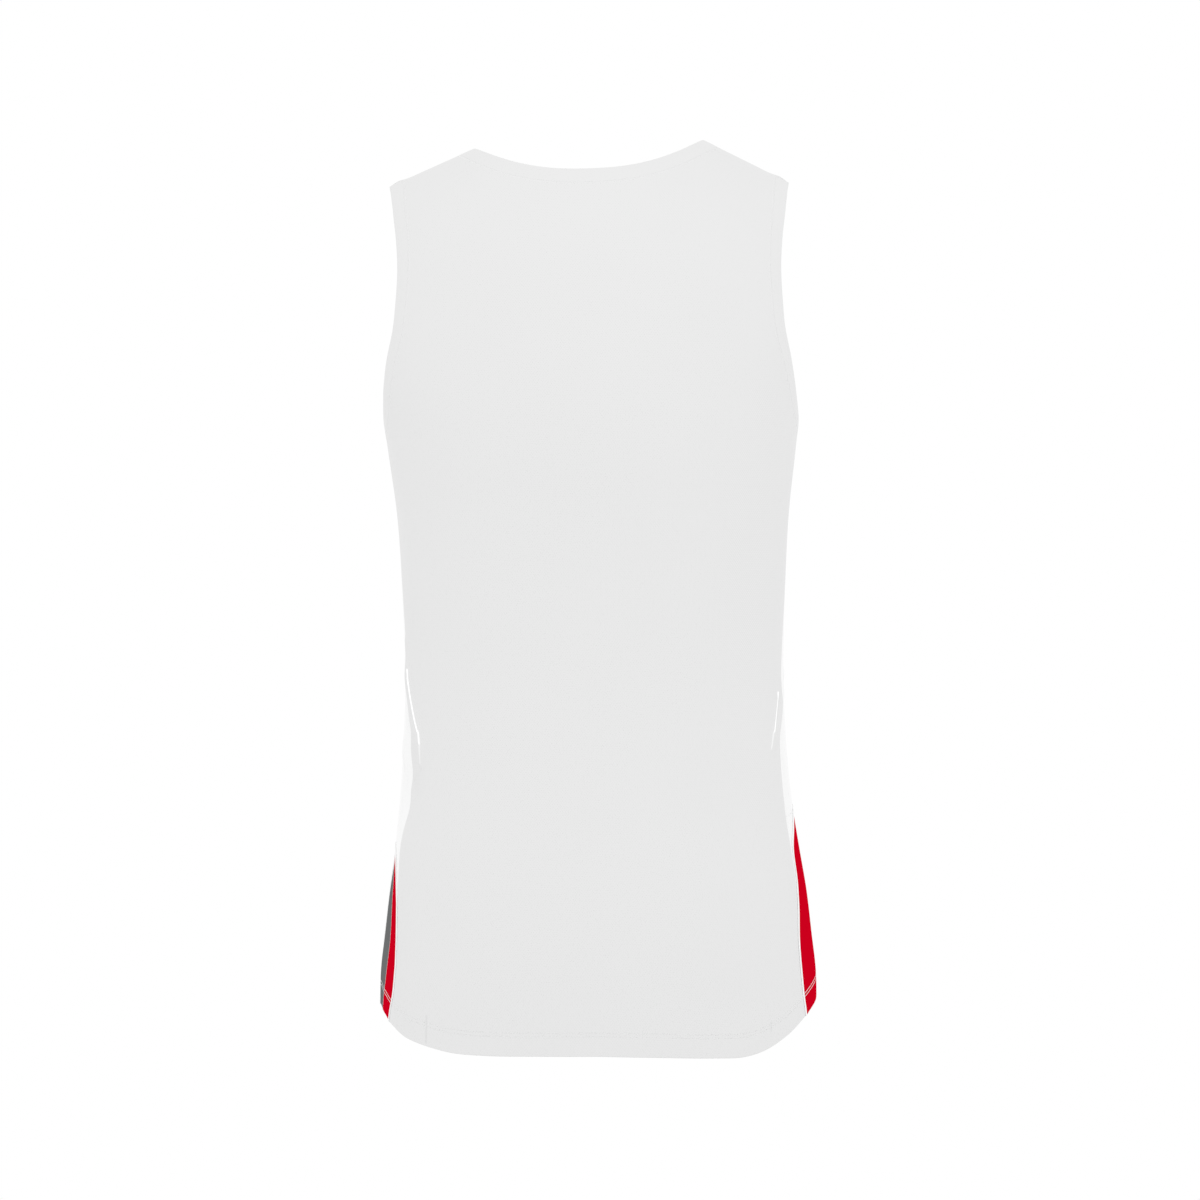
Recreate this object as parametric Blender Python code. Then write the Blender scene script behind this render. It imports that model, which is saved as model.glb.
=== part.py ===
"""Sleeveless basketball jersey, filled out as it is worn, with nobody inside it.

Each cut piece of cloth is one closed wall.  Metres, +Z up.  The front faces -Y, so the
wearer's left is +X.  The origin lies midway between the two points where the shoulder
seams meet the neckline.

A point of the cloth is named by two numbers.  Its bearing is the plan angle round the
body, 0 at the wearer's left side, +90 degrees at the middle of the back and -90 degrees
at the middle of the front.  Its climb is the way up the cloth from shoulder-blade level,
in metres: straight up below that level, and over the shoulder above it.  A lean is a
bearing counted from either side seam, so that left and right pieces share their numbers.
"""
import math
from collections import namedtuple

import bpy
import numpy as np
from mathutils import Vector
from mathutils.kdtree import KDTree

# ------------------------------------------------------------------ driving sizes (metres)
BLADE_HEIGHT = -0.210        # level of the shoulder blades, where the shoulders start to round
TURN_RADIUS = 0.190          # climb for each radian of the turn over the shoulder
NECK_HALF_WIDTH = 0.0985
BACK_NECK_DROP = 0.0268
FRONT_NECK_DROP = 0.1150
BACK_NECK_CURVE = 2.4        # power of the back neckline: above 2 is flat in the middle
FRONT_NECK_CURVE = 2.2
SHOULDER_HALF_WIDTH = 0.1713
SHOULDER_TIP_HEIGHT = -0.0343
SHOULDER_SEAM_BACK = 0.0125  # how far behind the shoulder ridge the seam lies
NECK_TILT = 0.0027           # how far the wearer's right neck point sits up, and the left one down

NECK_BAND = 0.014
ARMHOLE_BAND = 0.012
PIPING = 0.0023
HEM_DEPTH = 0.020
WALL = 0.0012                # one layer of knit
DOUBLED = 0.0021             # two layers, at the hem and in the bands
BAND_PROUD = 0.0004
SEAM_GAP = 0.0003

MID_BACK = math.radians(90)    # bearing of the middle of the back

# Level sections of the trunk, from the hem up.  back and front are the distances of the
# middle of the back and front from the plane of the shoulder ridge; power is the
# roundness of the section, 2 for an ellipse and more for a squarer one.
Section = namedtuple("Section", "height half_width back front power")
TRUNK = (
    Section(-0.800, 0.1878, 0.1070, 0.1100, 2.45),
    Section(-0.735, 0.1884, 0.1080, 0.1120, 2.45),
    Section(-0.710, 0.1880, 0.1080, 0.1125, 2.45),
    Section(-0.680, 0.1848, 0.1070, 0.1120, 2.45),
    Section(-0.641, 0.1804, 0.1040, 0.1100, 2.40),
    Section(-0.607, 0.1748, 0.1005, 0.1080, 2.35),
    Section(-0.573, 0.1696, 0.0965, 0.1060, 2.30),
    Section(-0.521, 0.1645, 0.0915, 0.1045, 2.30),
    Section(-0.452, 0.1620, 0.0890, 0.1050, 2.30),
    Section(-0.383, 0.1644, 0.0945, 0.1110, 2.35),
    Section(-0.315, 0.1686, 0.1060, 0.1200, 2.40),
    Section(-0.270, 0.1741, 0.1140, 0.1255, 2.40),
    Section(-0.240, 0.1777, 0.1170, 0.1275, 2.40),
    Section(-0.210, 0.1810, 0.1180, 0.1280, 2.40),
    Section(-0.177, 0.1838, 0.1180, 0.1280, 2.40),
    Section(-0.108, 0.1889, 0.1180, 0.1280, 2.40),
    Section(-0.034, 0.1940, 0.1180, 0.1280, 2.40),
)

# How the wearer's left differs: the skirt hangs squarer, drawn in and slanting out to the
# front, and the front edge of the armhole stands out a little.
Drape = namedtuple("Drape", "height power slant draw_in")
LEFT_DRAPE = (
    Drape(-0.800, 1.20, 0.110, 0.0038),
    Drape(-0.735, 1.50, 0.157, 0.0049),
    Drape(-0.690, 1.60, 0.165, 0.0062),
    Drape(-0.640, 1.10, 0.120, 0.0044),
    Drape(-0.590, 0.35, 0.035, 0.0010),
    Drape(-0.545, 0.00, 0.000, 0.0000),
    Drape(-0.270, 0.00, 0.000, 0.0000),
    Drape(-0.240, 0.00, 0.000, -0.0008),
    Drape(-0.210, 0.00, 0.000, -0.0040),
    Drape(-0.180, 0.00, 0.000, -0.0050),
    Drape(-0.140, 0.00, 0.000, -0.0034),
    Drape(-0.100, 0.00, 0.000, -0.0014),
    Drape(-0.060, 0.00, 0.000, 0.0000),
)

# Lower edge round the body by lean, in degrees: -90 is the middle of the front.
HemPoint = namedtuple("HemPoint", "lean left right")
HEM = (
    HemPoint(-90.0, -0.7600, -0.7600),
    HemPoint(-70.0, -0.7598, -0.7590),
    HemPoint(-55.0, -0.7570, -0.7540),
    HemPoint(-40.0, -0.7500, -0.7420),
    HemPoint(-25.0, -0.7420, -0.7310),
    HemPoint(-12.0, -0.7398, -0.7235),
    HemPoint(0.0, -0.7448, -0.7262),
    HemPoint(10.0, -0.7472, -0.7330),
    HemPoint(19.0, -0.7482, -0.7392),
    HemPoint(28.0, -0.7516, -0.7492),
    HemPoint(37.0, -0.7604, -0.7625),
    HemPoint(45.7, -0.7672, -0.7735),
    HemPoint(52.0, -0.7712, -0.7775),
    HemPoint(60.0, -0.7730, -0.7775),
    HemPoint(75.0, -0.7738, -0.7757),
    HemPoint(90.0, -0.7741, -0.7741),
)

# Side seams: how far behind and before the mid-side line the side panel reaches.
SeamPoint = namedtuple("SeamPoint", "height left right")
SIDE_SEAM = (
    SeamPoint(-0.800, 0.0330, 0.0450),
    SeamPoint(-0.765, 0.0370, 0.0480),
    SeamPoint(-0.745, 0.0432, 0.0502),
    SeamPoint(-0.725, 0.0543, 0.0536),
    SeamPoint(-0.705, 0.0566, 0.0548),
    SeamPoint(-0.682, 0.0520, 0.0530),
    SeamPoint(-0.648, 0.0452, 0.0457),
    SeamPoint(-0.590, 0.0338, 0.0350),
    SeamPoint(-0.520, 0.0295, 0.0300),
    SeamPoint(-0.450, 0.0170, 0.0170),
    SeamPoint(-0.350, 0.0100, 0.0100),
    SeamPoint(-0.240, 0.0080, 0.0080),
)
Arch = namedtuple("Arch", "top curve")
ARCHES = {1: Arch(-0.5970, 0.60), -1: Arch(-0.5690, 0.46)}
MiddlePoint = namedtuple("MiddlePoint", "rise left right")
INSERT_MIDDLE = (
    MiddlePoint(0.00, -5.0, 0.0),
    MiddlePoint(0.10, -2.5, 0.0),
    MiddlePoint(0.20, 1.0, 0.0),
    MiddlePoint(0.35, 2.5, 0.0),
    MiddlePoint(0.55, 3.2, 0.0),
    MiddlePoint(0.80, 5.0, 0.0),
    MiddlePoint(1.00, 6.0, 0.0),
)

# Armhole edge by height, from the shoulder tip down, and then round its floor.
ArmholeLevel = namedtuple("ArmholeLevel", "height back_width front_width")
ARMHOLE_SIDES = (
    ArmholeLevel(SHOULDER_TIP_HEIGHT, SHOULDER_HALF_WIDTH, SHOULDER_HALF_WIDTH),
    ArmholeLevel(-0.0598, 0.1676, 0.1638),
    ArmholeLevel(-0.0860, 0.1640, 0.1580),
    ArmholeLevel(-0.1120, 0.1622, 0.1562),
    ArmholeLevel(-0.1380, 0.1629, 0.1586),
    ArmholeLevel(-0.1633, 0.1648, 0.1641),
)
ArmholeFloor = namedtuple("ArmholeFloor", "behind height")
ARMHOLE_FLOOR = (
    ArmholeFloor(0.0550, -0.1860),
    ArmholeFloor(0.0455, -0.2075),
    ArmholeFloor(0.0330, -0.2255),
    ArmholeFloor(0.0175, -0.2370),
    ArmholeFloor(0.0000, -0.2415),
    ArmholeFloor(-0.0165, -0.2380),
    ArmholeFloor(-0.0315, -0.2275),
    ArmholeFloor(-0.0450, -0.2095),
    ArmholeFloor(-0.0570, -0.1875),
)

# Drag folds at the waist: soft ridges, each along a line from one point to another.
Fold = namedtuple("Fold", "side lean_from height_from lean_to height_to width lift")
FOLDS = (
    Fold(+1, 6.0, -0.430, 29.0, -0.530, 0.0075, 0.0026),
    Fold(+1, 5.0, -0.500, 28.0, -0.585, 0.0070, 0.0022),
    Fold(-1, 5.0, -0.455, 28.0, -0.525, 0.0070, 0.0024),
    Fold(+1, -7.0, -0.445, -31.0, -0.540, 0.0080, 0.0024),
    Fold(-1, -5.0, -0.440, -27.0, -0.520, 0.0075, 0.0026),
    Fold(-1, -6.0, -0.505, -25.0, -0.580, 0.0070, 0.0020),
)

# How finely each stretch is divided.
TRUNK_ROWS = 24
INSERT_ROWS = 6              # trunk rows up to where the side panel's legs end
ARCH_ROWS = 9                # trunk rows up to the point of the arch
HEM_STEP = 0.0035            # share of the trunk over which the hem's fold thins out
SHOULDER_STEPS = 4
NECK_STEPS = {1: 8, -1: 14}  # half of the back and of the front neckline
ARMHOLE_STEPS = {1: 15, -1: 17}
UNDERARM_STEPS = 2
INSERT_COLUMNS = 3
EDGE_CROWDING = 1.55         # above 1 draws the columns of a panel towards its side seam
DENSE = 240                  # points along an edge before it is divided
HALVINGS = 40                # rounds of narrowing down a place on the cloth
SETTLING = 12                # rounds of matching a seam to the rows that it crosses
RELAXING = 80                # rounds of spreading the inner points of a patch
LEAN_LENGTH = 0.16           # length of one radian of lean, about the radius of the body

WHITE_KNIT = ("white_knit", (0.80, 0.80, 0.80), 0.85)
WHITE_TAPE = ("white_tape", (0.88, 0.88, 0.88), 0.80)
RED_KNIT = ("red_knit", (0.62, 0.004, 0.014), 0.80)
GREY_KNIT = ("grey_knit", (0.175, 0.178, 0.178), 0.80)


# ------------------------------------------------------------------ curves through tables
def through(rows, column):
    """Smooth function through one column of a table, of the table's place column."""
    place_name = rows[0]._fields[0]
    knots = np.array([getattr(row, place_name) for row in rows])
    values = np.array([getattr(row, column) for row in rows])
    slopes = np.gradient(values, knots)

    def value_at(place):
        place = np.clip(place, knots[0], knots[-1])
        k = np.clip(np.searchsorted(knots, place, side="right") - 1, 0, len(knots) - 2)
        span = knots[k + 1] - knots[k]
        t = (place - knots[k]) / span
        near = (1 + 2 * t) * (1 - t) ** 2 * values[k] + t * (1 - t) ** 2 * span * slopes[k]
        far = t * t * (3 - 2 * t) * values[k + 1] + t * t * (t - 1) * span * slopes[k + 1]
        return near + far

    return value_at


half_width_at = through(TRUNK, "half_width")
back_at = through(TRUNK, "back")
front_at = through(TRUNK, "front")
power_at = through(TRUNK, "power")
left_power_at = through(LEFT_DRAPE, "power")
left_slant_at = through(LEFT_DRAPE, "slant")
left_draw_in_at = through(LEFT_DRAPE, "draw_in")
hem_height_at = {1: through(HEM, "left"), -1: through(HEM, "right")}
seam_reach_at = {1: through(SIDE_SEAM, "left"), -1: through(SIDE_SEAM, "right")}
insert_middle_at = {1: through(INSERT_MIDDLE, "left"), -1: through(INSERT_MIDDLE, "right")}


# ------------------------------------------------------------------ the cloth's outer face
def ridge_height(across):
    """Height of the shoulder line at a distance from the middle of the body."""
    fall = -SHOULDER_TIP_HEIGHT / (SHOULDER_HALF_WIDTH - NECK_HALF_WIDTH)
    reach = np.abs(across)
    over_neck = 0.5 * fall * NECK_HALF_WIDTH * (1 - (reach / NECK_HALF_WIDTH) ** 2)
    over_shoulder = -fall * (reach - NECK_HALF_WIDTH)
    return np.where(reach < NECK_HALF_WIDTH, over_neck, over_shoulder)


def neck_tilt(across):
    """How far the shoulder line sits up, greatest at the neck points and nothing at the tips."""
    reach = np.abs(across)
    outside = (SHOULDER_HALF_WIDTH - reach) / (SHOULDER_HALF_WIDTH - NECK_HALF_WIDTH)
    share = np.clip(np.minimum(reach / NECK_HALF_WIDTH, outside), 0.0, 1.0)
    return -NECK_TILT * np.sign(across) * share


def turn_of(climb):
    """Angle of the turn over the shoulder, 0 at the blades and 90 degrees on the ridge."""
    return np.maximum(climb, 0.0) / TURN_RADIUS


def level_of(climb, turn):
    """Height at the shoulder tip of the row that a climb belongs to."""
    rise = (SHOULDER_TIP_HEIGHT - BLADE_HEIGHT) * np.sin(turn)
    return BLADE_HEIGHT + np.minimum(climb, 0.0) + rise


def smooth_form(bearing, climb):
    """Points of the cloth's outer face, before its folds, as an array of x, y, z."""
    turn = turn_of(climb)
    past_ridge = turn > math.pi / 2
    bearing = np.where(past_ridge, -bearing, bearing)
    turn = np.where(past_ridge, math.pi - turn, turn)
    level = level_of(climb, turn)
    across, behind = np.cos(bearing), np.sin(bearing)
    leftness = np.maximum(across, 0.0) ** 2
    power = power_at(level) + leftness * left_power_at(level)
    spread = (np.abs(across) ** power + np.abs(behind) ** power) ** (-1 / power)
    depth = np.where(behind > 0, back_at(level), front_at(level))
    y = depth * behind * spread * np.cos(turn)
    x = half_width_at(level) * across * spread
    x = x - leftness * (left_draw_in_at(level) + left_slant_at(level) * y)
    over = BLADE_HEIGHT + (ridge_height(x) + neck_tilt(x) - BLADE_HEIGHT) * np.sin(turn)
    z = np.where(climb < 0, BLADE_HEIGHT + climb, over)
    return np.stack([x, y, z], axis=-1)


def outward(form, bearing, climb):
    """Unit normals of a form, pointing out of the body."""
    step = 0.0008
    round_body = form(bearing + step, climb) - form(bearing - step, climb)
    up_body = form(bearing, climb + step * 0.1) - form(bearing, climb - step * 0.1)
    normal = np.cross(round_body, up_body)
    return normal / np.linalg.norm(normal, axis=-1, keepdims=True)


def fold_lift(bearing, climb):
    """Height of the drag folds above the smooth form."""
    wrapped = np.arctan2(np.sin(bearing), np.cos(bearing))
    mirrored = np.arctan2(np.sin(math.pi - bearing), np.cos(math.pi - bearing))
    reach = half_width_at(-0.5)
    total = np.zeros(np.broadcast(bearing, climb).shape)
    for fold in FOLDS:
        lean = wrapped if fold.side > 0 else mirrored
        start = np.array([math.radians(fold.lean_from) * reach, fold.height_from])
        end = np.array([math.radians(fold.lean_to) * reach, fold.height_to])
        run = end - start
        along_x, along_z = lean * reach - start[0], climb + BLADE_HEIGHT - start[1]
        share = np.clip((along_x * run[0] + along_z * run[1]) / (run @ run), 0.0, 1.0)
        apart = np.hypot(along_x - share * run[0], along_z - share * run[1])
        fade = np.clip(4 * share, 0, 1) * np.clip(3 * (1 - share), 0, 1)
        total = total + fold.lift * fade * np.exp(-(apart / fold.width) ** 2)
    return total


def cloth_form(bearing, climb):
    """Points of the cloth's outer face, with its folds."""
    lift = fold_lift(bearing, climb)[..., None]
    return smooth_form(bearing, climb) + lift * outward(smooth_form, bearing, climb)


# ------------------------------------------------------------------ finding places on it
def bearing_of(side, lean):
    """Plan angle of a lean on the wearer's left (+1) or right (-1)."""
    return lean if side > 0 else math.pi - lean


def lean_at_reach(side, reach, climb, facing):
    """Lean of the point that lies a distance behind (+1) or before (-1) the mid-side."""
    climb = np.asarray(climb, dtype=float)
    low, high = np.zeros(climb.shape), np.full(climb.shape, 1.4)
    for _ in range(HALVINGS):
        middle = (low + high) / 2
        found = facing * smooth_form(bearing_of(side, facing * middle), climb)[..., 1]
        low = np.where(found < reach, middle, low)
        high = np.where(found < reach, high, middle)
    return facing * (low + high) / 2


def lean_at_width(width, climb, facing):
    """Lean of the point at a distance from the middle, on the back (+1) or front (-1)."""
    level = level_of(climb, turn_of(climb))
    power = power_at(level)
    share = np.clip(width / half_width_at(level), 0.0, 1.0)
    return facing * np.arctan2((1 - share ** power) ** (1 / power), share)


def climb_at_height(width, height):
    """Climb of the point at a distance from the middle and a height."""
    share = (height - BLADE_HEIGHT) / (ridge_height(width) - BLADE_HEIGHT)
    over = TURN_RADIUS * np.arcsin(np.clip(share, 0.0, 1.0))
    return np.where(height < BLADE_HEIGHT, height - BLADE_HEIGHT, over)


def over_ridge(path):
    """The same points of a path, named from the other side of the shoulder ridge."""
    return np.stack([-path[..., 0], math.pi * TURN_RADIUS - path[..., 1]], axis=-1)


def points_of(path):
    """Positions of a path's (lean, climb) pairs on the wearer's left."""
    return smooth_form(path[..., 0], path[..., 1])


def beside(path, distance, steps=4):
    """A path moved sideways over the cloth: inwards, to the left of its travel."""
    path = path.copy()
    step = 1e-4
    for _ in range(steps):
        travel = np.gradient(points_of(path), axis=0)
        travel /= np.linalg.norm(travel, axis=-1, keepdims=True)
        across = np.cross(outward(smooth_form, path[:, 0], path[:, 1]), travel)
        here = points_of(path)
        by_lean = (smooth_form(path[:, 0] + step, path[:, 1]) - here) / step
        by_climb = (smooth_form(path[:, 0], path[:, 1] + step) - here) / step
        for k in range(len(path)):
            tangents = np.stack([by_lean[k], by_climb[k]], axis=1)
            change = np.linalg.lstsq(tangents, across[k] * distance / steps, rcond=None)[0]
            path[k] += change
    return path


def at_index(path, index):
    """Points of a path at fractional indices."""
    whole = np.arange(len(path))
    return np.stack([np.interp(index, whole, path[:, c]) for c in range(2)], axis=-1)


def crossing(values, start, stop):
    """Fractional index between two indices at which a row of values changes sign."""
    for k in range(start, stop):
        if values[k] * values[k + 1] <= 0:
            return k + values[k] / (values[k] - values[k + 1])
    raise ValueError("an edge does not cross the seam it should")


def even_indices(path, start, stop, steps):
    """Fractional indices that divide a stretch of a path into steps of equal length."""
    fine = np.linspace(start, stop, 400)
    points = points_of(at_index(path, fine))
    run = np.concatenate([[0.0], np.cumsum(np.linalg.norm(np.diff(points, axis=0), axis=1))])
    return np.interp(np.linspace(0.0, run[-1], steps + 1), run, fine)


# ------------------------------------------------------------------ edges and seams
def neck_edge():
    """Neckline from the middle of the back over the left shoulder to the middle of the front."""
    sweep = np.linspace(0.0, math.pi, DENSE)
    width = NECK_HALF_WIDTH * np.sin(sweep)
    facing = np.where(np.cos(sweep) > 0, 1.0, -1.0)
    drop = np.where(facing > 0, BACK_NECK_DROP, FRONT_NECK_DROP)
    curve = np.where(facing > 0, BACK_NECK_CURVE, FRONT_NECK_CURVE)
    height = -drop * (1 - np.sin(sweep) ** curve)
    climb = climb_at_height(width, height)
    return np.stack([lean_at_width(width, climb, facing), climb], axis=-1)


def armhole_edge():
    """Left armhole from the shoulder tip down the back, and up the front past the tip."""
    knots = []
    for level in ARMHOLE_SIDES:
        climb = climb_at_height(level.back_width, level.height)
        knots.append((lean_at_width(level.back_width, climb, 1), climb))
    for spot in ARMHOLE_FLOOR:
        climb = spot.height - BLADE_HEIGHT
        facing = 1 if spot.behind >= 0 else -1
        knots.append((lean_at_reach(1, abs(spot.behind), climb, facing), climb))
    for level in reversed(ARMHOLE_SIDES):
        climb = climb_at_height(level.front_width, level.height)
        knots.append((lean_at_width(level.front_width, climb, -1), climb))
    knots = np.array(knots, dtype=float)
    knots = np.concatenate([over_ridge(knots[-2:-1]), knots, over_ridge(knots[1:3])])
    apart = np.linalg.norm(np.diff(points_of(knots), axis=0), axis=1)
    place = np.concatenate([[0.0], np.cumsum(apart)])
    slopes = np.gradient(knots, place, axis=0)
    at = np.linspace(place[1], place[-1], DENSE)
    k = np.clip(np.searchsorted(place, at, side="right") - 1, 0, len(place) - 2)
    span = (place[k + 1] - place[k])[:, None]
    t = (at - place[k])[:, None] / span
    near = (1 + 2 * t) * (1 - t) ** 2 * knots[k] + t * (1 - t) ** 2 * span * slopes[k]
    far = t * t * (3 - 2 * t) * knots[k + 1] + t * t * (t - 1) * span * slopes[k + 1]
    return near + far


def shoulder_seam(width_from, width_to):
    """Shoulder seam on the back, between two distances from the middle."""
    width = np.linspace(width_from, width_to, SHOULDER_STEPS + 1)
    low, high = np.zeros(width.shape), np.full(width.shape, TURN_RADIUS * math.pi / 2)
    for _ in range(HALVINGS):
        climb = (low + high) / 2
        behind = smooth_form(lean_at_width(width, climb, 1), climb)[:, 1]
        low = np.where(behind > SHOULDER_SEAM_BACK, climb, low)
        high = np.where(behind > SHOULDER_SEAM_BACK, high, climb)
    return np.stack([lean_at_width(width, climb, 1), climb], axis=-1)


class Edges:
    """Every edge and seam that two pieces share, as (lean, climb) stations on the left."""

    def __init__(self):
        armhole = armhole_edge()
        armhole_line = beside(armhole, ARMHOLE_BAND)
        behind = points_of(armhole_line)[:, 1] - SHOULDER_SEAM_BACK
        tip = crossing(behind, 0, DENSE // 3)
        tip_again = crossing(behind, 3 * DENSE // 4, DENSE - 1)
        reach = points_of(armhole_line)[:, 1]
        seam = seam_reach_at[1](armhole_line[:, 1] + BLADE_HEIGHT)
        below = DENSE // 3, 2 * DENSE // 3
        back_seam = crossing(reach - seam, *below)
        front_seam = crossing(reach + seam, *below)
        mid_side = crossing(armhole_line[:, 0], *below)
        underarm = [even_indices(armhole_line, back_seam, mid_side, UNDERARM_STEPS),
                    even_indices(armhole_line, mid_side, front_seam, UNDERARM_STEPS)[1:]]
        stretches = [
            even_indices(armhole_line, tip, back_seam, ARMHOLE_STEPS[1]),
            np.concatenate(underarm),
            even_indices(armhole_line, front_seam, tip_again, ARMHOLE_STEPS[-1]),
        ]
        self.armhole_stretches = [at_index(armhole_line, stretch) for stretch in stretches]
        around = np.concatenate([stretches[0], stretches[1][1:], stretches[2][1:]])
        self.armhole = at_index(armhole, around)
        self.armhole_line = at_index(armhole_line, around)
        for path in (self.armhole, self.armhole_line):
            path[-1] = over_ridge(path[0])
        self.armhole_stretches[2][-1] = self.armhole_line[-1]

        neck = neck_edge()
        neck_line = beside(neck, NECK_BAND)
        neck_line[[0, -1], 0] = MID_BACK, -MID_BACK
        behind = points_of(neck_line)[:, 1] - SHOULDER_SEAM_BACK
        corner = crossing(behind, 2, DENSE // 2)
        over = (neck_line[:, 0] > 0)[:, None]
        seen_from_front = np.where(over, over_ridge(neck_line), neck_line)
        neck_back = even_indices(neck_line, 0, corner, NECK_STEPS[1])
        neck_front = even_indices(seen_from_front, corner, DENSE - 1, NECK_STEPS[-1])
        self.neck_line_back = at_index(neck_line, neck_back)
        self.neck_line_front = at_index(seen_from_front, neck_front)
        around = np.concatenate([neck_back, neck_front[1:]])
        over = (neck[:, 0] > 0)[:, None]
        from_front = at_index(np.where(over, over_ridge(neck), neck), around)
        on_back = (around < corner)[:, None]
        self.neck = np.where(on_back, at_index(neck, around), from_front)
        line_from_front = at_index(seen_from_front, around)
        self.neck_line = np.where(on_back, at_index(neck_line, around), line_from_front)

        outer_width = points_of(self.armhole_line[0])[0]
        inner_width = points_of(self.neck_line_back[-1])[0]
        self.shoulder = shoulder_seam(outer_width, inner_width)
        self.shoulder[0] = self.armhole_line[0]
        self.shoulder[-1] = self.neck_line_back[-1]
        self.junction = {1: float(self.armhole_stretches[0][-1][1]),
                         -1: float(self.armhole_stretches[2][0][1])}


# ------------------------------------------------------------------ grids of the pieces
def trunk_shares():
    """Shares of the way from the hem to the underarm at which the trunk's rows lie."""
    length = BLADE_HEIGHT - HEM[0].left
    above = np.linspace(HEM_DEPTH / length, 1.0, TRUNK_ROWS)
    return np.concatenate([[0.0], above[:1], above[:1] + HEM_STEP, above[1:]])


def climb_at_share(side, lean, share, top):
    """Climb of a share of the way from the hem to a top level, at a lean."""
    hem = hem_height_at[side](np.degrees(lean)) - BLADE_HEIGHT
    return hem + (top - hem) * share


def seam_line(side, facing, shares, top):
    """Side seam of one side, at the trunk's shares."""
    climb = climb_at_share(side, 0.0, shares, top)
    for _ in range(SETTLING):
        reach = seam_reach_at[side](climb + BLADE_HEIGHT)
        lean = lean_at_reach(side, reach, climb, facing)
        climb = climb_at_share(side, lean, shares, top)
    return np.stack([lean, climb], axis=-1)


def insert_point_lean(side):
    """Lean of the point of the arch."""
    return math.radians(float(insert_middle_at[side](1.0)))


def arch_line(side, facing, seam, shares):
    """Outer line of the insert's piping, on the trunk rows up to the point of the arch."""
    arch = ARCHES[side]
    line = seam[:ARCH_ROWS + 1].copy()
    foot = line[INSERT_ROWS, 1]
    rows = slice(INSERT_ROWS + 1, ARCH_ROWS + 1)
    rise = (shares[rows] - shares[INSERT_ROWS]) / (shares[ARCH_ROWS] - shares[INSERT_ROWS])
    climb = foot + (arch.top - BLADE_HEIGHT - foot) * rise
    full = lean_at_reach(side, seam_reach_at[side](foot + BLADE_HEIGHT), climb, facing)
    middle = insert_point_lean(side)
    line[rows] = np.stack([middle + (full - middle) * (1 - rise) ** arch.curve, climb], axis=-1)
    return line


def patch(bottom, top, outer, inner, crowd):
    """Grid of (lean, climb) filled in between four edges, by rows up from the bottom."""
    v = np.linspace(0.0, 1.0, len(outer))[:, None, None]
    even = np.linspace(0.0, 1.0, len(bottom))
    u = (1 - v) * crowd[None, :, None] + v * even[None, :, None]
    between_ends = (1 - v) * bottom[None] + v * top[None]
    between_sides = (1 - u) * outer[:, None] + u * inner[:, None]
    corners = ((1 - u) * (1 - v) * bottom[0] + u * (1 - v) * bottom[-1]
               + (1 - u) * v * top[0] + u * v * top[-1])
    return between_ends + between_sides - corners


def relaxed(grid):
    """A grid with its inner points spread, so that its rows and columns never cross."""
    grid = grid * (LEAN_LENGTH, 1.0)
    for _ in range(RELAXING):
        over = (grid[1:-1, 2:] - grid[1:-1, :-2]) / 2
        up = (grid[2:, 1:-1] - grid[:-2, 1:-1]) / 2
        twist = (grid[2:, 2:] - grid[2:, :-2] - grid[:-2, 2:] + grid[:-2, :-2]) / 4
        over_2, up_2, both = ((a * b).sum(axis=-1, keepdims=True)
                              for a, b in ((over, over), (up, up), (over, up)))
        beside_2 = up_2 * (grid[1:-1, 2:] + grid[1:-1, :-2])
        above_2 = over_2 * (grid[2:, 1:-1] + grid[:-2, 1:-1])
        grid[1:-1, 1:-1] = (beside_2 + above_2 - 2 * both * twist) / (2 * (over_2 + up_2))
    return grid / (LEAN_LENGTH, 1.0)


def as_bearings(side, grid):
    """A grid of leans as a grid of bearings."""
    turned = grid.copy()
    turned[..., 0] = bearing_of(side, grid[..., 0])
    return turned


def panel_grids(edges, side, facing):
    """Trunk and shoulder grids of one half of the back (+1) or front (-1) panel."""
    shares = trunk_shares()
    columns = SHOULDER_STEPS + NECK_STEPS[facing]
    crowd = np.linspace(0.0, 1.0, columns + 1) ** EDGE_CROWDING
    seam = seam_line(side, facing, shares, edges.junction[facing])
    lean = seam[:, :1] + (facing * MID_BACK - seam[:, :1]) * crowd[None]
    climb = climb_at_share(side, lean, shares[:, None], edges.junction[facing])
    trunk = np.stack([lean, climb], axis=-1)
    if facing > 0:
        outer = edges.armhole_stretches[0][::-1]
        over_top = np.concatenate([edges.shoulder, edges.neck_line_back[::-1][1:]])
    else:
        outer = edges.armhole_stretches[2]
        over_top = np.concatenate([over_ridge(edges.shoulder), edges.neck_line_front[1:]])
    outer = outer.copy()
    outer[0] = trunk[-1, 0]
    middle_climb = np.linspace(edges.junction[facing], over_top[-1][1], len(outer))
    inner = np.stack([np.full(len(outer), facing * MID_BACK), middle_climb], axis=-1)
    shoulder = relaxed(patch(trunk[-1], over_top, outer, inner, crowd))
    return as_bearings(side, trunk), as_bearings(side, shoulder)


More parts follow.
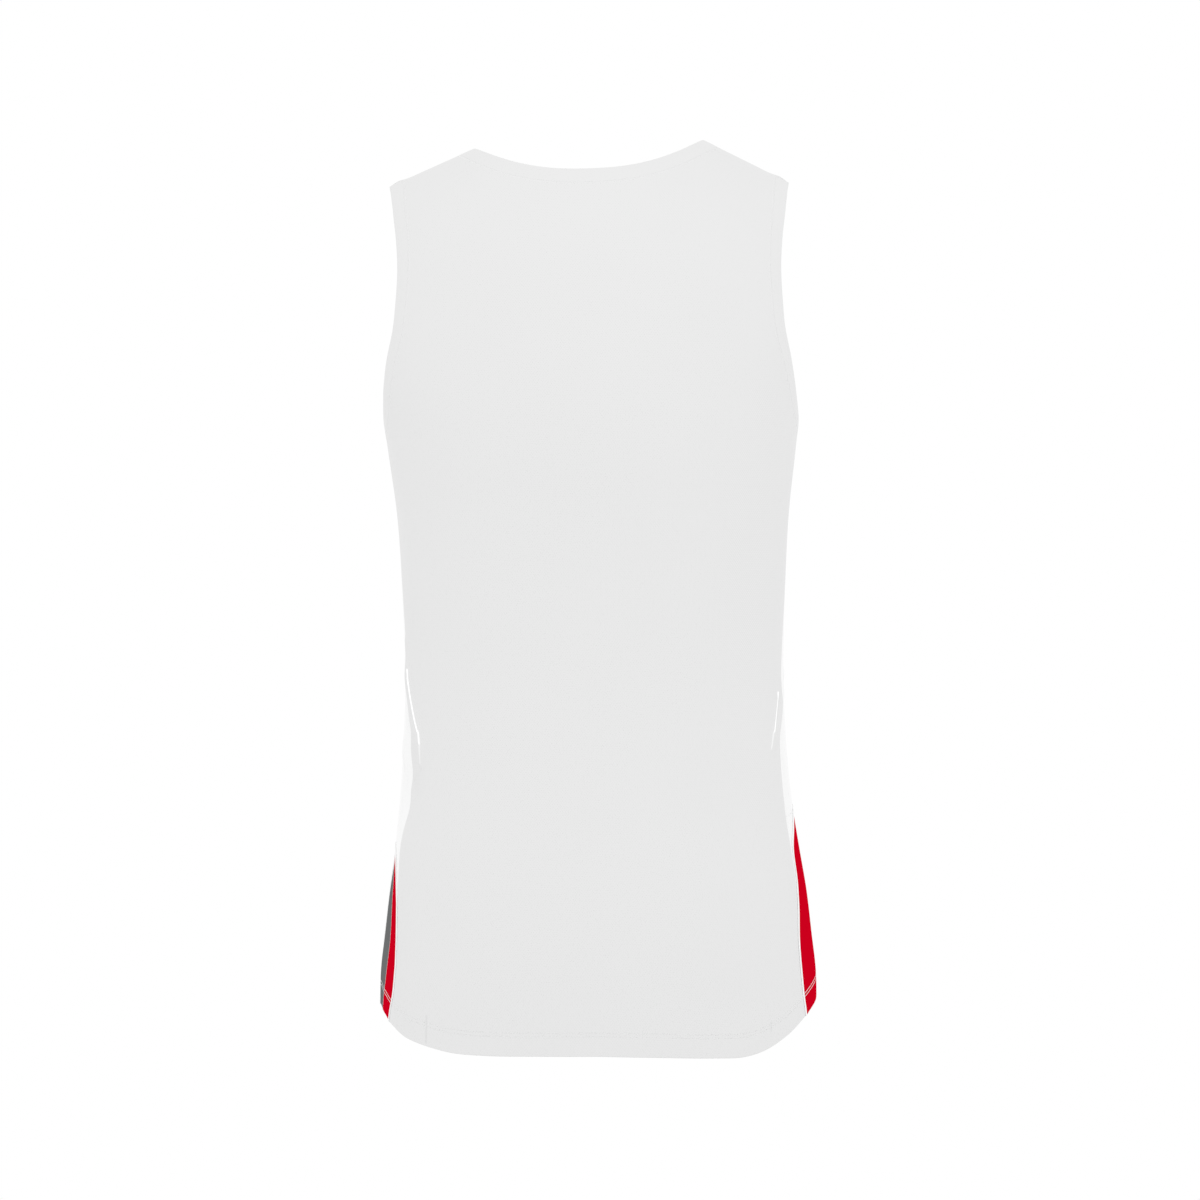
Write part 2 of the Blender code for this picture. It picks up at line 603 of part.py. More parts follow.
def side_grids(edges, side):
    """The two halves of a side panel, behind and before the mid-side line."""
    shares = trunk_shares()
    halves = []
    for facing in (1, -1):
        top = edges.junction[facing]
        seam = seam_line(side, facing, shares, top)
        arch = arch_line(side, facing, seam, shares)
        lip = edges.armhole_stretches[1]
        lip = lip[:UNDERARM_STEPS + 1][::-1] if facing > 0 else lip[UNDERARM_STEPS:]
        across = np.linspace(0.0, 1.0, UNDERARM_STEPS + 1)[:, None]
        grid = []
        for k in range(INSERT_ROWS, len(shares)):
            if k <= ARCH_ROWS:
                grid.append((1 - across) * arch[k] + across * seam[k])
                continue
            rise = (shares[k] - shares[ARCH_ROWS]) / (1 - shares[ARCH_ROWS])
            row = (1 - rise) * grid[ARCH_ROWS - INSERT_ROWS] + rise * lip
            row += across * (seam[k] - row[-1])
            grid.append(row)
        grid = np.array(grid)
        halves.append(as_bearings(side, grid))
    return halves


def piping_grid(edges, side):
    """Strip of piping from the back of the hem over the arch to the front of the hem."""
    shares = trunk_shares()
    lines = []
    for facing in (1, -1):
        top = edges.junction[facing]
        seam = seam_line(side, facing, shares, top)
        lines.append(arch_line(side, facing, seam, shares))
    outer = np.concatenate([lines[0], lines[1][::-1][1:]])
    inner = beside(outer, PIPING)
    inner[ARCH_ROWS, 0] = insert_point_lean(side)
    return outer, inner


def insert_grid(inner_line, side, facing):
    """Back (+1) or front (-1) half of an insert, out to the piping's inner line."""
    rows = ARCH_ROWS + 1
    edge = inner_line[:rows] if facing > 0 else inner_line[::-1][:rows]
    across = np.linspace(0.0, 1.0, INSERT_COLUMNS + 1)[None, :, None]
    rise = ((edge[:, 1] - edge[0, 1]) / (edge[-1, 1] - edge[0, 1]))[:, None, None]
    middle = np.radians(insert_middle_at[side](rise))
    lean = middle + across * (edge[:, None, :1] - middle)
    hem = hem_height_at[side](np.degrees(lean)) - BLADE_HEIGHT
    climb = hem + (edge[-1, 1] - hem) * rise
    climb[:, -1, 0] = edge[:, 1]
    grid = np.concatenate([lean, climb], axis=-1)
    grid[-1] = edge[-1]
    return grid


# ------------------------------------------------------------------ cloth walls
def material(name, colour, roughness):
    """Matt cloth of one colour."""
    found = bpy.data.materials.get(name)
    if found:
        return found
    made = bpy.data.materials.new(name)
    made.use_nodes = True
    shader = made.node_tree.nodes["Principled BSDF"]
    shader.inputs["Base Color"].default_value = (*colour, 1.0)
    shader.inputs["Roughness"].default_value = roughness
    shader.inputs["Metallic"].default_value = 0.0
    made.diffuse_color = (*colour, 1.0)
    return made


def welded(grids):
    """One sheet from several grids: its points, normals, hem marks and quads or triangles."""
    points, normals, inner, faces = [], [], [], []
    for grid, depth in grids:
        base = len(points)
        rows, columns = grid.shape[:2]
        points.extend(cloth_form(grid[..., 0], grid[..., 1]).reshape(-1, 3))
        normals.extend(outward(smooth_form, grid[..., 0], grid[..., 1]).reshape(-1, 3))
        inner.extend(np.broadcast_to(depth, (rows, columns)).reshape(-1))
        for r in range(rows - 1):
            for c in range(columns - 1):
                a = base + r * columns + c
                faces.append((a, a + 1, a + 1 + columns, a + columns))
    tree = KDTree(len(points))
    for k, point in enumerate(points):
        tree.insert(Vector(point), k)
    tree.balance()
    same = [min(found[1] for found in tree.find_range(Vector(p), 2e-6)) for p in points]
    kept = sorted(set(same))
    place = {old: new for new, old in enumerate(kept)}
    sheet_faces = []
    for face in faces:
        corners = [place[same[k]] for k in face]
        corners = [c for k, c in enumerate(corners) if c != corners[k - 1]]
        if len(corners) > 2:
            sheet_faces.append(corners)
    points, normals, inner = (np.array([list_[k] for k in kept])
                              for list_ in (points, normals, inner))
    for face in sheet_faces:
        a, b, c = (points[k] for k in face[:3])
        if np.dot(np.cross(b - a, c - b), normals[face[0]]) < 0:
            face.reverse()
    return points, normals, inner, sheet_faces


def free_edges(faces):
    """Edges that belong to one face only, each in its face's direction."""
    count = {}
    for face in faces:
        for k, corner in enumerate(face):
            edge = (face[k - 1], corner)
            count[frozenset(edge)] = None if frozenset(edge) in count else edge
    return [edge for edge in count.values() if edge]


def drawn_back(points, normals, edges, distance):
    """Move the points on a sheet's edge in over the cloth, to leave room at the seam."""
    inward = {}
    for a, b in edges:
        along = points[b] - points[a]
        for k in (a, b):
            left = np.cross(normals[k], along)
            inward.setdefault(k, []).append(left / np.linalg.norm(left))
    moved = points.copy()
    for k, ways in inward.items():
        way = sum(ways)
        way = way / max(np.linalg.norm(way), 1e-9)
        moved[k] += way * distance / max(float(way @ ways[0]), 0.4)
    return moved


def cloth_wall(name, grids, finish, proud=0.0):
    """Closed wall of cloth over one or more grids, each with its depth inwards."""
    points, normals, inner, faces = welded(grids)
    edges = free_edges(faces)
    points = drawn_back(points, normals, edges, SEAM_GAP / 2)
    outside = points + normals * proud
    inside = points - normals * (inner - proud)[:, None]
    shift = len(points)
    all_faces = [list(face) for face in faces]
    all_faces += [[k + shift for k in reversed(face)] for face in faces]
    all_faces += [[b, a, a + shift, b + shift] for a, b in edges]
    mesh = bpy.data.meshes.new(name)
    mesh.from_pydata([tuple(p) for p in np.concatenate([outside, inside])], [], all_faces)
    mesh.validate()
    mesh.shade_smooth()
    mesh.set_sharp_from_angle(angle=math.radians(50))
    mesh.materials.append(material(*finish))
    piece = bpy.data.objects.new(name, mesh)
    bpy.context.scene.collection.objects.link(piece)
    return piece


def hem_depths(grid):
    """Depth of the wall at each row of a trunk grid: doubled where the hem is turned up."""
    depth = np.full(grid.shape[:2], WALL)
    depth[:2] = DOUBLED
    return depth


# ------------------------------------------------------------------ the pieces
def make_panel(name, edges, facing):
    """Back or front panel, both halves in one piece."""
    grids = []
    for side in (1, -1):
        trunk, shoulder = panel_grids(edges, side, facing)
        grids.append((trunk, hem_depths(trunk)))
        grids.append((shoulder, WALL))
    cloth_wall(name, grids, WHITE_KNIT)


def make_side(edges, side, side_name):
    """Side panel, and the piped red and grey insert in its arch."""
    grids = [(grid, WALL) for grid in side_grids(edges, side)]
    cloth_wall(f"side_panel_{side_name}", grids, WHITE_KNIT)
    outer, inner = piping_grid(edges, side)
    strip = as_bearings(side, np.stack([outer, inner], axis=1))
    depth = np.full(strip.shape[:2], WALL)
    depth[:2], depth[-2:] = DOUBLED, DOUBLED
    cloth_wall(f"insert_piping_{side_name}", [(strip, depth)], WHITE_TAPE, proud=0.0003)
    for facing, colour, finish in ((1, "red", RED_KNIT), (-1, "grey", GREY_KNIT)):
        grid = as_bearings(side, insert_grid(inner, side, facing))
        cloth_wall(f"insert_{colour}_{side_name}", [(grid, hem_depths(grid))], finish)


def make_armhole_band(edges, side, side_name):
    """Doubled band round an armhole, closed at the shoulder seam."""
    strip = np.stack([edges.armhole, edges.armhole_line], axis=1)
    cloth_wall(f"armhole_band_{side_name}", [(as_bearings(side, strip), DOUBLED)],
               WHITE_KNIT, proud=BAND_PROUD)


def make_neck_band(edges):
    """Doubled band round the neckline."""
    strip = np.stack([edges.neck, edges.neck_line], axis=1)
    halves = [(as_bearings(side, strip), DOUBLED) for side in (1, -1)]
    cloth_wall("neck_band", halves, WHITE_KNIT, proud=BAND_PROUD)


def main():
    for old in list(bpy.data.objects):
        bpy.data.objects.remove(old, do_unlink=True)
    edges = Edges()
    make_panel("back_panel", edges, 1)
    make_panel("front_panel", edges, -1)
    for side, side_name in ((1, "left"), (-1, "right")):
        make_side(edges, side, side_name)
        make_armhole_band(edges, side, side_name)
    make_neck_band(edges)


main()
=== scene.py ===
"""Basketball jersey in mesh knit: its finished cloth and sewing, with a stage and a camera.

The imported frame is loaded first, and every piece lies on the frame's own form.  A point of
the cloth is named by two numbers.  Its bearing is the plan angle round the body, 0 at the
wearer's left side, +90 degrees at the middle of the back and -90 degrees at the middle of
the front.  Its climb is the way up the cloth from shoulder-blade level, in metres.  A lean
is a bearing counted from either side seam, so left and right share their numbers.
"""
import math
from collections import namedtuple

import bpy
import numpy as np
from bpy.props import FloatProperty, FloatVectorProperty, PointerProperty
from bpy.types import Operator, Panel, PropertyGroup
from mathutils import Euler, Matrix, Vector
from mathutils.kdtree import KDTree


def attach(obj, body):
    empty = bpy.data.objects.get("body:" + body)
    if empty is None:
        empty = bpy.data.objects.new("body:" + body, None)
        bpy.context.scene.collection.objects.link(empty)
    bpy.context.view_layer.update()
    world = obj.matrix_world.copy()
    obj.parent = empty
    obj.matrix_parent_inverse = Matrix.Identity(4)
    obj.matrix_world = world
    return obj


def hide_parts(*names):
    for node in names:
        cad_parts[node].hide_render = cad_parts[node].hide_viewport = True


bl_info = {
    "name": "Basketball Jersey",
    "version": (1, 0, 0),
    "blender": (4, 5, 0),
    "location": "3D View > Sidebar > Jersey",
    "description": "Sleeveless mesh knit jersey with piped hem inserts, sewn and finished",
    "category": "Add Mesh",
}

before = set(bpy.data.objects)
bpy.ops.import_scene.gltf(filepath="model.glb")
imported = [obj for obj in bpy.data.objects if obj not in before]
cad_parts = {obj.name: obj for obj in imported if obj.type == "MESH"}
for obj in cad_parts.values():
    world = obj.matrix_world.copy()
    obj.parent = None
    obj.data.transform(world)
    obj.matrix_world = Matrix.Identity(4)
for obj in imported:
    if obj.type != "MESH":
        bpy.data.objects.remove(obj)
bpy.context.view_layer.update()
SIDES = ((1, "left"), (-1, "right"))


def rows_of(kind, rows):
    """Rows of a table with named columns."""
    return tuple(kind(*row) for row in rows)


# ---- the frame's own sizes
BLADE_HEIGHT = -0.210        # level of the shoulder blades, where the shoulders start to round
TURN_RADIUS = 0.190          # climb for each radian of the turn over the shoulder
NECK_HALF_WIDTH = 0.0985
BACK_NECK_DROP = 0.0268
FRONT_NECK_DROP = 0.1150
BACK_NECK_CURVE = 2.4        # power of the back neckline: above 2 is flat in the middle
FRONT_NECK_CURVE = 2.2
SHOULDER_HALF_WIDTH = 0.1713
SHOULDER_TIP_HEIGHT = -0.0343
SHOULDER_SEAM_BACK = 0.0125  # how far behind the shoulder ridge the seam lies
NECK_TILT = 0.0027           # how far the wearer's right neck point sits up, and the left one down

NECK_BAND = 0.014
ARMHOLE_BAND = 0.012
PIPING = 0.0023
WALL = 0.0012                # one layer of knit
DOUBLED = 0.0021             # two layers, at the hem and in the bands
SEAM_GAP = 0.00001

MID_BACK = math.radians(90)

Section = namedtuple("Section", "height half_width back front power")
TRUNK = rows_of(Section, (
    (-0.800, 0.1878, 0.1070, 0.1100, 2.45),
    (-0.735, 0.1884, 0.1080, 0.1120, 2.45),
    (-0.710, 0.1880, 0.1080, 0.1125, 2.45),
    (-0.680, 0.1848, 0.1070, 0.1120, 2.45),
    (-0.641, 0.1804, 0.1040, 0.1100, 2.40),
    (-0.607, 0.1748, 0.1005, 0.1080, 2.35),
    (-0.573, 0.1696, 0.0965, 0.1060, 2.30),
    (-0.521, 0.1645, 0.0915, 0.1045, 2.30),
    (-0.452, 0.1620, 0.0890, 0.1050, 2.30),
    (-0.383, 0.1644, 0.0945, 0.1110, 2.35),
    (-0.315, 0.1686, 0.1060, 0.1200, 2.40),
    (-0.270, 0.1741, 0.1140, 0.1255, 2.40),
    (-0.240, 0.1777, 0.1170, 0.1275, 2.40),
    (-0.210, 0.1810, 0.1180, 0.1280, 2.40),
    (-0.177, 0.1838, 0.1180, 0.1280, 2.40),
    (-0.108, 0.1889, 0.1180, 0.1280, 2.40),
    (-0.034, 0.1940, 0.1180, 0.1280, 2.40),
))

Drape = namedtuple("Drape", "height power slant draw_in")
LEFT_DRAPE = rows_of(Drape, (
    (-0.800, 1.20, 0.110, 0.0038),
    (-0.735, 1.50, 0.157, 0.0049),
    (-0.690, 1.60, 0.165, 0.0062),
    (-0.640, 1.10, 0.120, 0.0044),
    (-0.590, 0.35, 0.035, 0.0010),
    (-0.545, 0.00, 0.000, 0.0000),
    (-0.270, 0.00, 0.000, 0.0000),
    (-0.240, 0.00, 0.000, -0.0008),
    (-0.210, 0.00, 0.000, -0.0040),
    (-0.180, 0.00, 0.000, -0.0050),
    (-0.140, 0.00, 0.000, -0.0034),
    (-0.100, 0.00, 0.000, -0.0014),
    (-0.060, 0.00, 0.000, 0.0000),
))

HemPoint = namedtuple("HemPoint", "lean left right")
HEM = rows_of(HemPoint, (
    (-90.0, -0.7600, -0.7600),
    (-70.0, -0.7598, -0.7590),
    (-55.0, -0.7570, -0.7540),
    (-40.0, -0.7500, -0.7420),
    (-25.0, -0.7420, -0.7310),
    (-12.0, -0.7398, -0.7235),
    (0.0, -0.7448, -0.7262),
    (10.0, -0.7472, -0.7330),
    (19.0, -0.7482, -0.7392),
    (28.0, -0.7516, -0.7492),
    (37.0, -0.7604, -0.7625),
    (45.7, -0.7672, -0.7735),
    (52.0, -0.7712, -0.7775),
    (60.0, -0.7730, -0.7775),
    (75.0, -0.7738, -0.7757),
    (90.0, -0.7741, -0.7741),
))

SeamPoint = namedtuple("SeamPoint", "height left right")
SIDE_SEAM = rows_of(SeamPoint, (
    (-0.800, 0.0330, 0.0450),
    (-0.765, 0.0370, 0.0480),
    (-0.745, 0.0432, 0.0502),
    (-0.725, 0.0543, 0.0536),
    (-0.705, 0.0566, 0.0548),
    (-0.682, 0.0520, 0.0530),
    (-0.648, 0.0452, 0.0457),
    (-0.590, 0.0338, 0.0350),
    (-0.520, 0.0295, 0.0300),
    (-0.450, 0.0170, 0.0170),
    (-0.350, 0.0100, 0.0100),
    (-0.240, 0.0080, 0.0080),
))
Arch = namedtuple("Arch", "top curve")
ARCHES = {1: Arch(-0.5970, 0.60), -1: Arch(-0.5690, 0.46)}
MiddlePoint = namedtuple("MiddlePoint", "rise left right")
INSERT_MIDDLE = rows_of(MiddlePoint, (
    (0.00, -5.0, 0.0),
    (0.10, -2.5, 0.0),
    (0.20, 1.0, 0.0),
    (0.35, 2.7, 0.0),
    (0.55, 4.0, 0.0),
    (0.80, 5.7, 0.0),
    (1.00, 6.0, 0.0),
))

ArmholeLevel = namedtuple("ArmholeLevel", "height back_width front_width")
ARMHOLE_SIDES = rows_of(ArmholeLevel, (
    (SHOULDER_TIP_HEIGHT, SHOULDER_HALF_WIDTH, SHOULDER_HALF_WIDTH),
    (-0.0598, 0.1676, 0.1638),
    (-0.0860, 0.1640, 0.1580),
    (-0.1120, 0.1622, 0.1562),
    (-0.1380, 0.1629, 0.1586),
    (-0.1633, 0.1648, 0.1641),
))
ArmholeFloor = namedtuple("ArmholeFloor", "behind height")
ARMHOLE_FLOOR = rows_of(ArmholeFloor, (
    (0.0550, -0.1860),
    (0.0455, -0.2075),
    (0.0330, -0.2255),
    (0.0175, -0.2370),
    (0.0000, -0.2415),
    (-0.0165, -0.2380),
    (-0.0315, -0.2275),
    (-0.0450, -0.2095),
    (-0.0570, -0.1875),
))

Fold = namedtuple("Fold", "side lean_from height_from lean_to height_to width lift")
FOLDS = rows_of(Fold, (
    (+1, 6.0, -0.430, 29.0, -0.530, 0.0075, 0.0026),
    (+1, 5.0, -0.500, 28.0, -0.585, 0.0070, 0.0022),
    (-1, 5.0, -0.455, 28.0, -0.525, 0.0070, 0.0024),
    (+1, -7.0, -0.445, -31.0, -0.540, 0.0080, 0.0024),
    (-1, -5.0, -0.440, -27.0, -0.520, 0.0075, 0.0026),
    (-1, -6.0, -0.505, -25.0, -0.580, 0.0070, 0.0020),
))

# ---- the cloth's own relief
# Creases ride on the folds: narrow ridges with a steep flank towards the side of the body.
CREASES = rows_of(Fold, (
    (+1, 8.5, -0.424, 15.0, -0.455, 0.0028, 0.0008),
    (+1, 15.0, -0.455, 26.1, -0.5015, 0.0030, 0.0014),
    (+1, 26.1, -0.5015, 28.5, -0.531, 0.0030, 0.0011),
    (-1, 13.7, -0.4625, 20.3, -0.4785, 0.0028, 0.0010),
    (-1, 20.3, -0.4785, 25.5, -0.505, 0.0030, 0.0012),
    (-1, 25.5, -0.505, 28.7, -0.5215, 0.0028, 0.0008),
    (+1, -13.0, -0.462, -24.0, -0.505, 0.0032, 0.0014),
    (+1, -24.0, -0.505, -31.0, -0.548, 0.0030, 0.0010),
    (-1, -10.0, -0.452, -21.0, -0.496, 0.0032, 0.0014),
    (-1, -12.0, -0.516, -23.0, -0.556, 0.0030, 0.0011),
))
# Troughs lie beside the creases, where the cloth is drawn in towards the side seams.
TROUGHS = rows_of(Fold, (
    (+1, 12.0, -0.470, 19.5, -0.520, 0.0060, -0.0016),
    (-1, 13.0, -0.480, 20.0, -0.640, 0.0080, -0.0024),
))
# Swells are broad soft rises and hollows of the hanging cloth: a place by lean and height,
# half its size round the body and up it, and its lift, which is negative for a hollow.
Swell = namedtuple("Swell", "side lean height across up lift")
SWELLS = rows_of(Swell, (
    (+1, 33.0, -0.262, 0.030, 0.048, -0.0022),
    (-1, 33.0, -0.258, 0.028, 0.046, -0.0014),
    (+1, 21.0, -0.553, 0.023, 0.030, -0.0075),
    (+1, 46.0, -0.675, 0.036, 0.075, -0.0038),
    (-1, 44.0, -0.690, 0.030, 0.070, -0.0009),
    (+1, 70.0, -0.545, 0.030, 0.100, 0.0007),
    (-1, 66.0, -0.560, 0.032, 0.110, 0.0008),
    (+1, -34.0, -0.268, 0.030, 0.052, -0.0018),
    (-1, -34.0, -0.262, 0.030, 0.050, -0.0016),
    (+1, -58.0, -0.560, 0.022, 0.150, 0.0018),
    (-1, -52.0, -0.600, 0.024, 0.130, 0.0017),
    (+1, -76.0, -0.640, 0.020, 0.120, -0.0014),
    (-1, -74.0, -0.560, 0.020, 0.150, -0.0013),
    (-1, -86.0, -0.660, 0.018, 0.090, 0.0012),
))
# Ripples are slow waves of the whole cloth, by their length round and up the body.
Ripple = namedtuple("Ripple", "across up phase lift")
RIPPLES = rows_of(Ripple, (
    (0.170, 0.520, 0.4, 0.00040),
    (0.095, -0.360, 2.1, 0.00022),
    (0.060, 0.230, 4.0, 0.00010),
))
TIP_REACH = 0.0080           # how far in from a shoulder tip its roll of cloth lies
TIP_ROLL = 0.0011
TIP_FALL = 0.0034
FIRST_NEEDLE = 0.0170        # the hem's twin rows of sewing, above its lower edge
SECOND_NEEDLE = 0.0200
HEM_SINK = -0.00002          # height of the stitches' middle lines over the cloth
TOPSTITCH_SINK = -0.00003
INSERT_RISE = 0.00002
INSERT_SEWING_GAP = 0.0004   # from the join of red and grey to its sewing
BAND_PROUD = 0.00003
BAND_DOME = 0.0002
PIPING_DOME = 0.0009
STITCH_FLATNESS = 0.3        # height of a stitch as a share of its thickness
MARK_CORE = 0.0004           # half width of a mark's full tone, and where its tone is gone
MARK_EDGE = 0.0013
MARK_END = 0.002             # length over which a mark's ends fade
# Marks are fine lines in the knit's tone, down each panel: the joins of the turned-up hem,
# which are darker, and painted highlights along the edges of the creases, which are lighter.
Mark = namedtuple("Mark", "side lean_from height_from lean_to height_to tone strength")
JOINS_AND_PAINTED_HIGHLIGHTS = {
    "back": rows_of(Mark, (
        (+1, 44.1, -0.7386, 44.1, -0.7646, 0.5, 0.13),
        (-1, 43.1, -0.7478, 43.1, -0.7583, 0.5, 0.12),
        # Painted highlights along the back creases' edges: lines lighter than the knit's own
        # white.
        (+1, 13.5, -0.448, 26.1, -0.5035, 1.45, 0.95),
        (+1, 26.1, -0.5005, 27.6, -0.514, 1.40, 0.70),
        (+1, 27.5, -0.512, 28.3, -0.531, 1.34, 0.30),
        (-1, 18.6, -0.4705, 25.5, -0.5070, 1.45, 0.80),
        (-1, 25.5, -0.5040, 28.7, -0.5215, 1.34, 0.40),
    )),
    "front": rows_of(Mark, (
        # Painted highlights along the front creases' edges: lines lighter than the knit's own
        # white.
        (+1, -14.0, -0.466, -24.0, -0.505, 1.34, 0.60),
        (-1, -11.0, -0.456, -21.0, -0.496, 1.34, 0.60),
    )),
}

# ---- how finely it is divided
HEM_ROWS = (0.0, 0.0008, 0.002, 0.004, 0.007, 0.010, 0.013, 0.0148, 0.0159, 0.0165, 0.0170,
            0.0175, 0.0183, 0.0190, 0.0195, 0.0200, 0.0205, 0.0213, 0.0230, 0.0250)
TRUNK_LENGTH = 0.55          # from the hem at the middle of the front up to the blades
LEG_SHARE = 0.2039526        # share of the trunk where the side panel's legs end
ARCH_SHARE = 0.3296443       # share of the trunk at the point of the arch
LEG_STEPS = 26
ARCH_STEPS = 26
UPPER_STEPS = 84
SHOULDER_STEPS = 24
NECK_STEPS = {1: 52, -1: 56}
ARMHOLE_STEPS = {1: 60, -1: 68}
UNDERARM_STEPS = 8
INSERT_COLUMNS = 14
EDGE_CROWDING = 1.7
DENSE = 600
HALVINGS = 40
SETTLING = 12
RELAXING = 1600
LEAN_LENGTH = 0.16
QUADRATURE = 14              # sub-steps in measuring the way over the cloth
EDGE_LINES = (0.25, 0.6)     # extra lines in the cell beside a free edge
BAND_STEPS = (0.0, 0.05, 0.13, 0.3, 0.5, 0.7, 0.87, 0.95, 1.0)
EDGE_ROUNDING = 0.0004       # how far a free edge draws in on both faces
GROOVE_DEPTH = 0.00001
GROOVE_WIDTH = 0.0016
NEEDLE_DENT = 0.00008
NEEDLE_WIDTH = 0.0006
TILT_STEP = 0.0008           # step round the body in finding a normal, and its share up it
TILT_SHARE_UP = 0.1
SIDE_STEP = 1e-4             # steps in moving a path, and in measuring the way over the cloth
WAY_STEP = 2e-4
WELD = 2e-6                  # points nearer than this are one
LEAN_LEVEL = -0.5            # level at which a lean is turned into metres
WIDEST_LEAN = 1.4
FINE_STEPS = 400
TURNED_UP = 0.0012           # climb over which the hem's doubling ends
SETTLED_BELOW = 0.03         # how far under the tips the drape begins, and over what climb
SETTLING_CLIMB = 0.10
AT_HEM = 1e-5                # a point nearer to the hem's edge than this is on it


# ---- curves through tables
def eased(knots, values, slopes, place):
    """Smooth curve through knots, by their values and slopes, at each place."""
    k = np.clip(np.searchsorted(knots, place, side="right") - 1, 0, len(knots) - 2)
    each = (..., *[None] * (values.ndim - 1))
    span = (knots[k + 1] - knots[k])[each]
    t = (place - knots[k])[each] / span
    near = (1 + 2 * t) * (1 - t) ** 2 * values[k] + t * (1 - t) ** 2 * span * slopes[k]
    far = t * t * (3 - 2 * t) * values[k + 1] + t * t * (t - 1) * span * slopes[k + 1]
    return near + far


def through(rows, column):
    """Smooth function through one column of a table, of the table's place column."""
    knots = np.array([row[0] for row in rows])
    values = np.array([getattr(row, column) for row in rows])
    slopes = np.gradient(values, knots)
    return lambda place: eased(knots, values, slopes, np.clip(place, knots[0], knots[-1]))


half_width_at = through(TRUNK, "half_width")
back_at = through(TRUNK, "back")
front_at = through(TRUNK, "front")
power_at = through(TRUNK, "power")
left_power_at = through(LEFT_DRAPE, "power")
left_slant_at = through(LEFT_DRAPE, "slant")
left_draw_in_at = through(LEFT_DRAPE, "draw_in")
hem_height_at = {1: through(HEM, "left"), -1: through(HEM, "right")}
seam_reach_at = {1: through(SIDE_SEAM, "left"), -1: through(SIDE_SEAM, "right")}
insert_middle_at = {1: through(INSERT_MIDDLE, "left"), -1: through(INSERT_MIDDLE, "right")}
SIDE_REACH = half_width_at(LEAN_LEVEL)


# ---- the cloth's outer face
def ridge_height(across):
    """Height of the shoulder line at a distance from the middle of the body."""
    fall = -SHOULDER_TIP_HEIGHT / (SHOULDER_HALF_WIDTH - NECK_HALF_WIDTH)
    reach = np.abs(across)
    over_neck = 0.5 * fall * NECK_HALF_WIDTH * (1 - (reach / NECK_HALF_WIDTH) ** 2)
    over_shoulder = -fall * (reach - NECK_HALF_WIDTH)
    return np.where(reach < NECK_HALF_WIDTH, over_neck, over_shoulder)


def neck_tilt(across):
    """How far the shoulder line sits up, greatest at the neck points and nothing at the tips."""
    reach = np.abs(across)
    outside = (SHOULDER_HALF_WIDTH - reach) / (SHOULDER_HALF_WIDTH - NECK_HALF_WIDTH)
    share = np.clip(np.minimum(reach / NECK_HALF_WIDTH, outside), 0.0, 1.0)
    return -NECK_TILT * np.sign(across) * share


def turn_of(climb):
    """Angle of the turn over the shoulder, 0 at the blades and 90 degrees on the ridge."""
    return np.maximum(climb, 0.0) / TURN_RADIUS


def level_of(climb, turn):
    """Height at the shoulder tip of the row that a climb belongs to."""
    rise = (SHOULDER_TIP_HEIGHT - BLADE_HEIGHT) * np.sin(turn)
    return BLADE_HEIGHT + np.minimum(climb, 0.0) + rise


def smooth_form(bearing, climb):
    """Points of the cloth's outer face, before its folds, as an array of x, y, z."""
    turn = turn_of(climb)
    past_ridge = turn > math.pi / 2
    bearing = np.where(past_ridge, -bearing, bearing)
    turn = np.where(past_ridge, math.pi - turn, turn)
    level = level_of(climb, turn)
    across, behind = np.cos(bearing), np.sin(bearing)
    leftness = np.maximum(across, 0.0) ** 2
    power = power_at(level) + leftness * left_power_at(level)
    spread = (np.abs(across) ** power + np.abs(behind) ** power) ** (-1 / power)
    depth = np.where(behind > 0, back_at(level), front_at(level))
    y = depth * behind * spread * np.cos(turn)
    x = half_width_at(level) * across * spread
    x = x - leftness * (left_draw_in_at(level) + left_slant_at(level) * y)
    over = BLADE_HEIGHT + (ridge_height(x) + neck_tilt(x) - BLADE_HEIGHT) * np.sin(turn)
    z = np.where(climb < 0, BLADE_HEIGHT + climb, over)
    return np.stack([x, y, z], axis=-1)


def paired(bearing, climb):
    """A path or grid from its bearings (or leans) and its climbs."""
    return np.stack([bearing, climb], axis=-1)


def points_of(path):
    """Positions of a path's pairs of bearing and climb."""
    return smooth_form(path[..., 0], path[..., 1])


def outward(path):
    """Unit normals of the smooth form along a path, pointing out of the body."""
    across, up = np.array([TILT_STEP, 0.0]), np.array([0.0, TILT_STEP * TILT_SHARE_UP])
    round_body = points_of(path + across) - points_of(path - across)
    up_body = points_of(path + up) - points_of(path - up)
    normal = np.cross(round_body, up_body)
    return normal / np.linalg.norm(normal, axis=-1, keepdims=True)


def leans_of(bearing):
    """Leans of a bearing from the wearer's left and right sides, by side."""
    return {1: np.arctan2(np.sin(bearing), np.cos(bearing)),
            -1: np.arctan2(np.sin(math.pi - bearing), np.cos(math.pi - bearing))}


def off_lines(ridges, bearing, climb):
    """Each ridge, with the share along its line and the distance from it at each point."""
    leans = leans_of(bearing)
    for ridge in ridges:
        start = np.array([math.radians(ridge.lean_from) * SIDE_REACH, ridge.height_from])
        end = np.array([math.radians(ridge.lean_to) * SIDE_REACH, ridge.height_to])
        run = end - start
        along_x = leans[ridge.side] * SIDE_REACH - start[0]
        along_z = climb + BLADE_HEIGHT - start[1]
        share = np.clip((along_x * run[0] + along_z * run[1]) / (run @ run), 0.0, 1.0)
        yield ridge, share, np.hypot(along_x - share * run[0], along_z - share * run[1])


def ridges_lift(ridges, bearing, climb):
    """Height of soft ridges along their lines, above the smooth form."""
    total = np.zeros(np.broadcast(bearing, climb).shape)
    for fold, share, apart in off_lines(ridges, bearing, climb):
        fade = np.clip(4 * share, 0, 1) * np.clip(3 * (1 - share), 0, 1)
        total = total + fold.lift * fade * np.exp(-(apart / fold.width) ** 2)
    return total


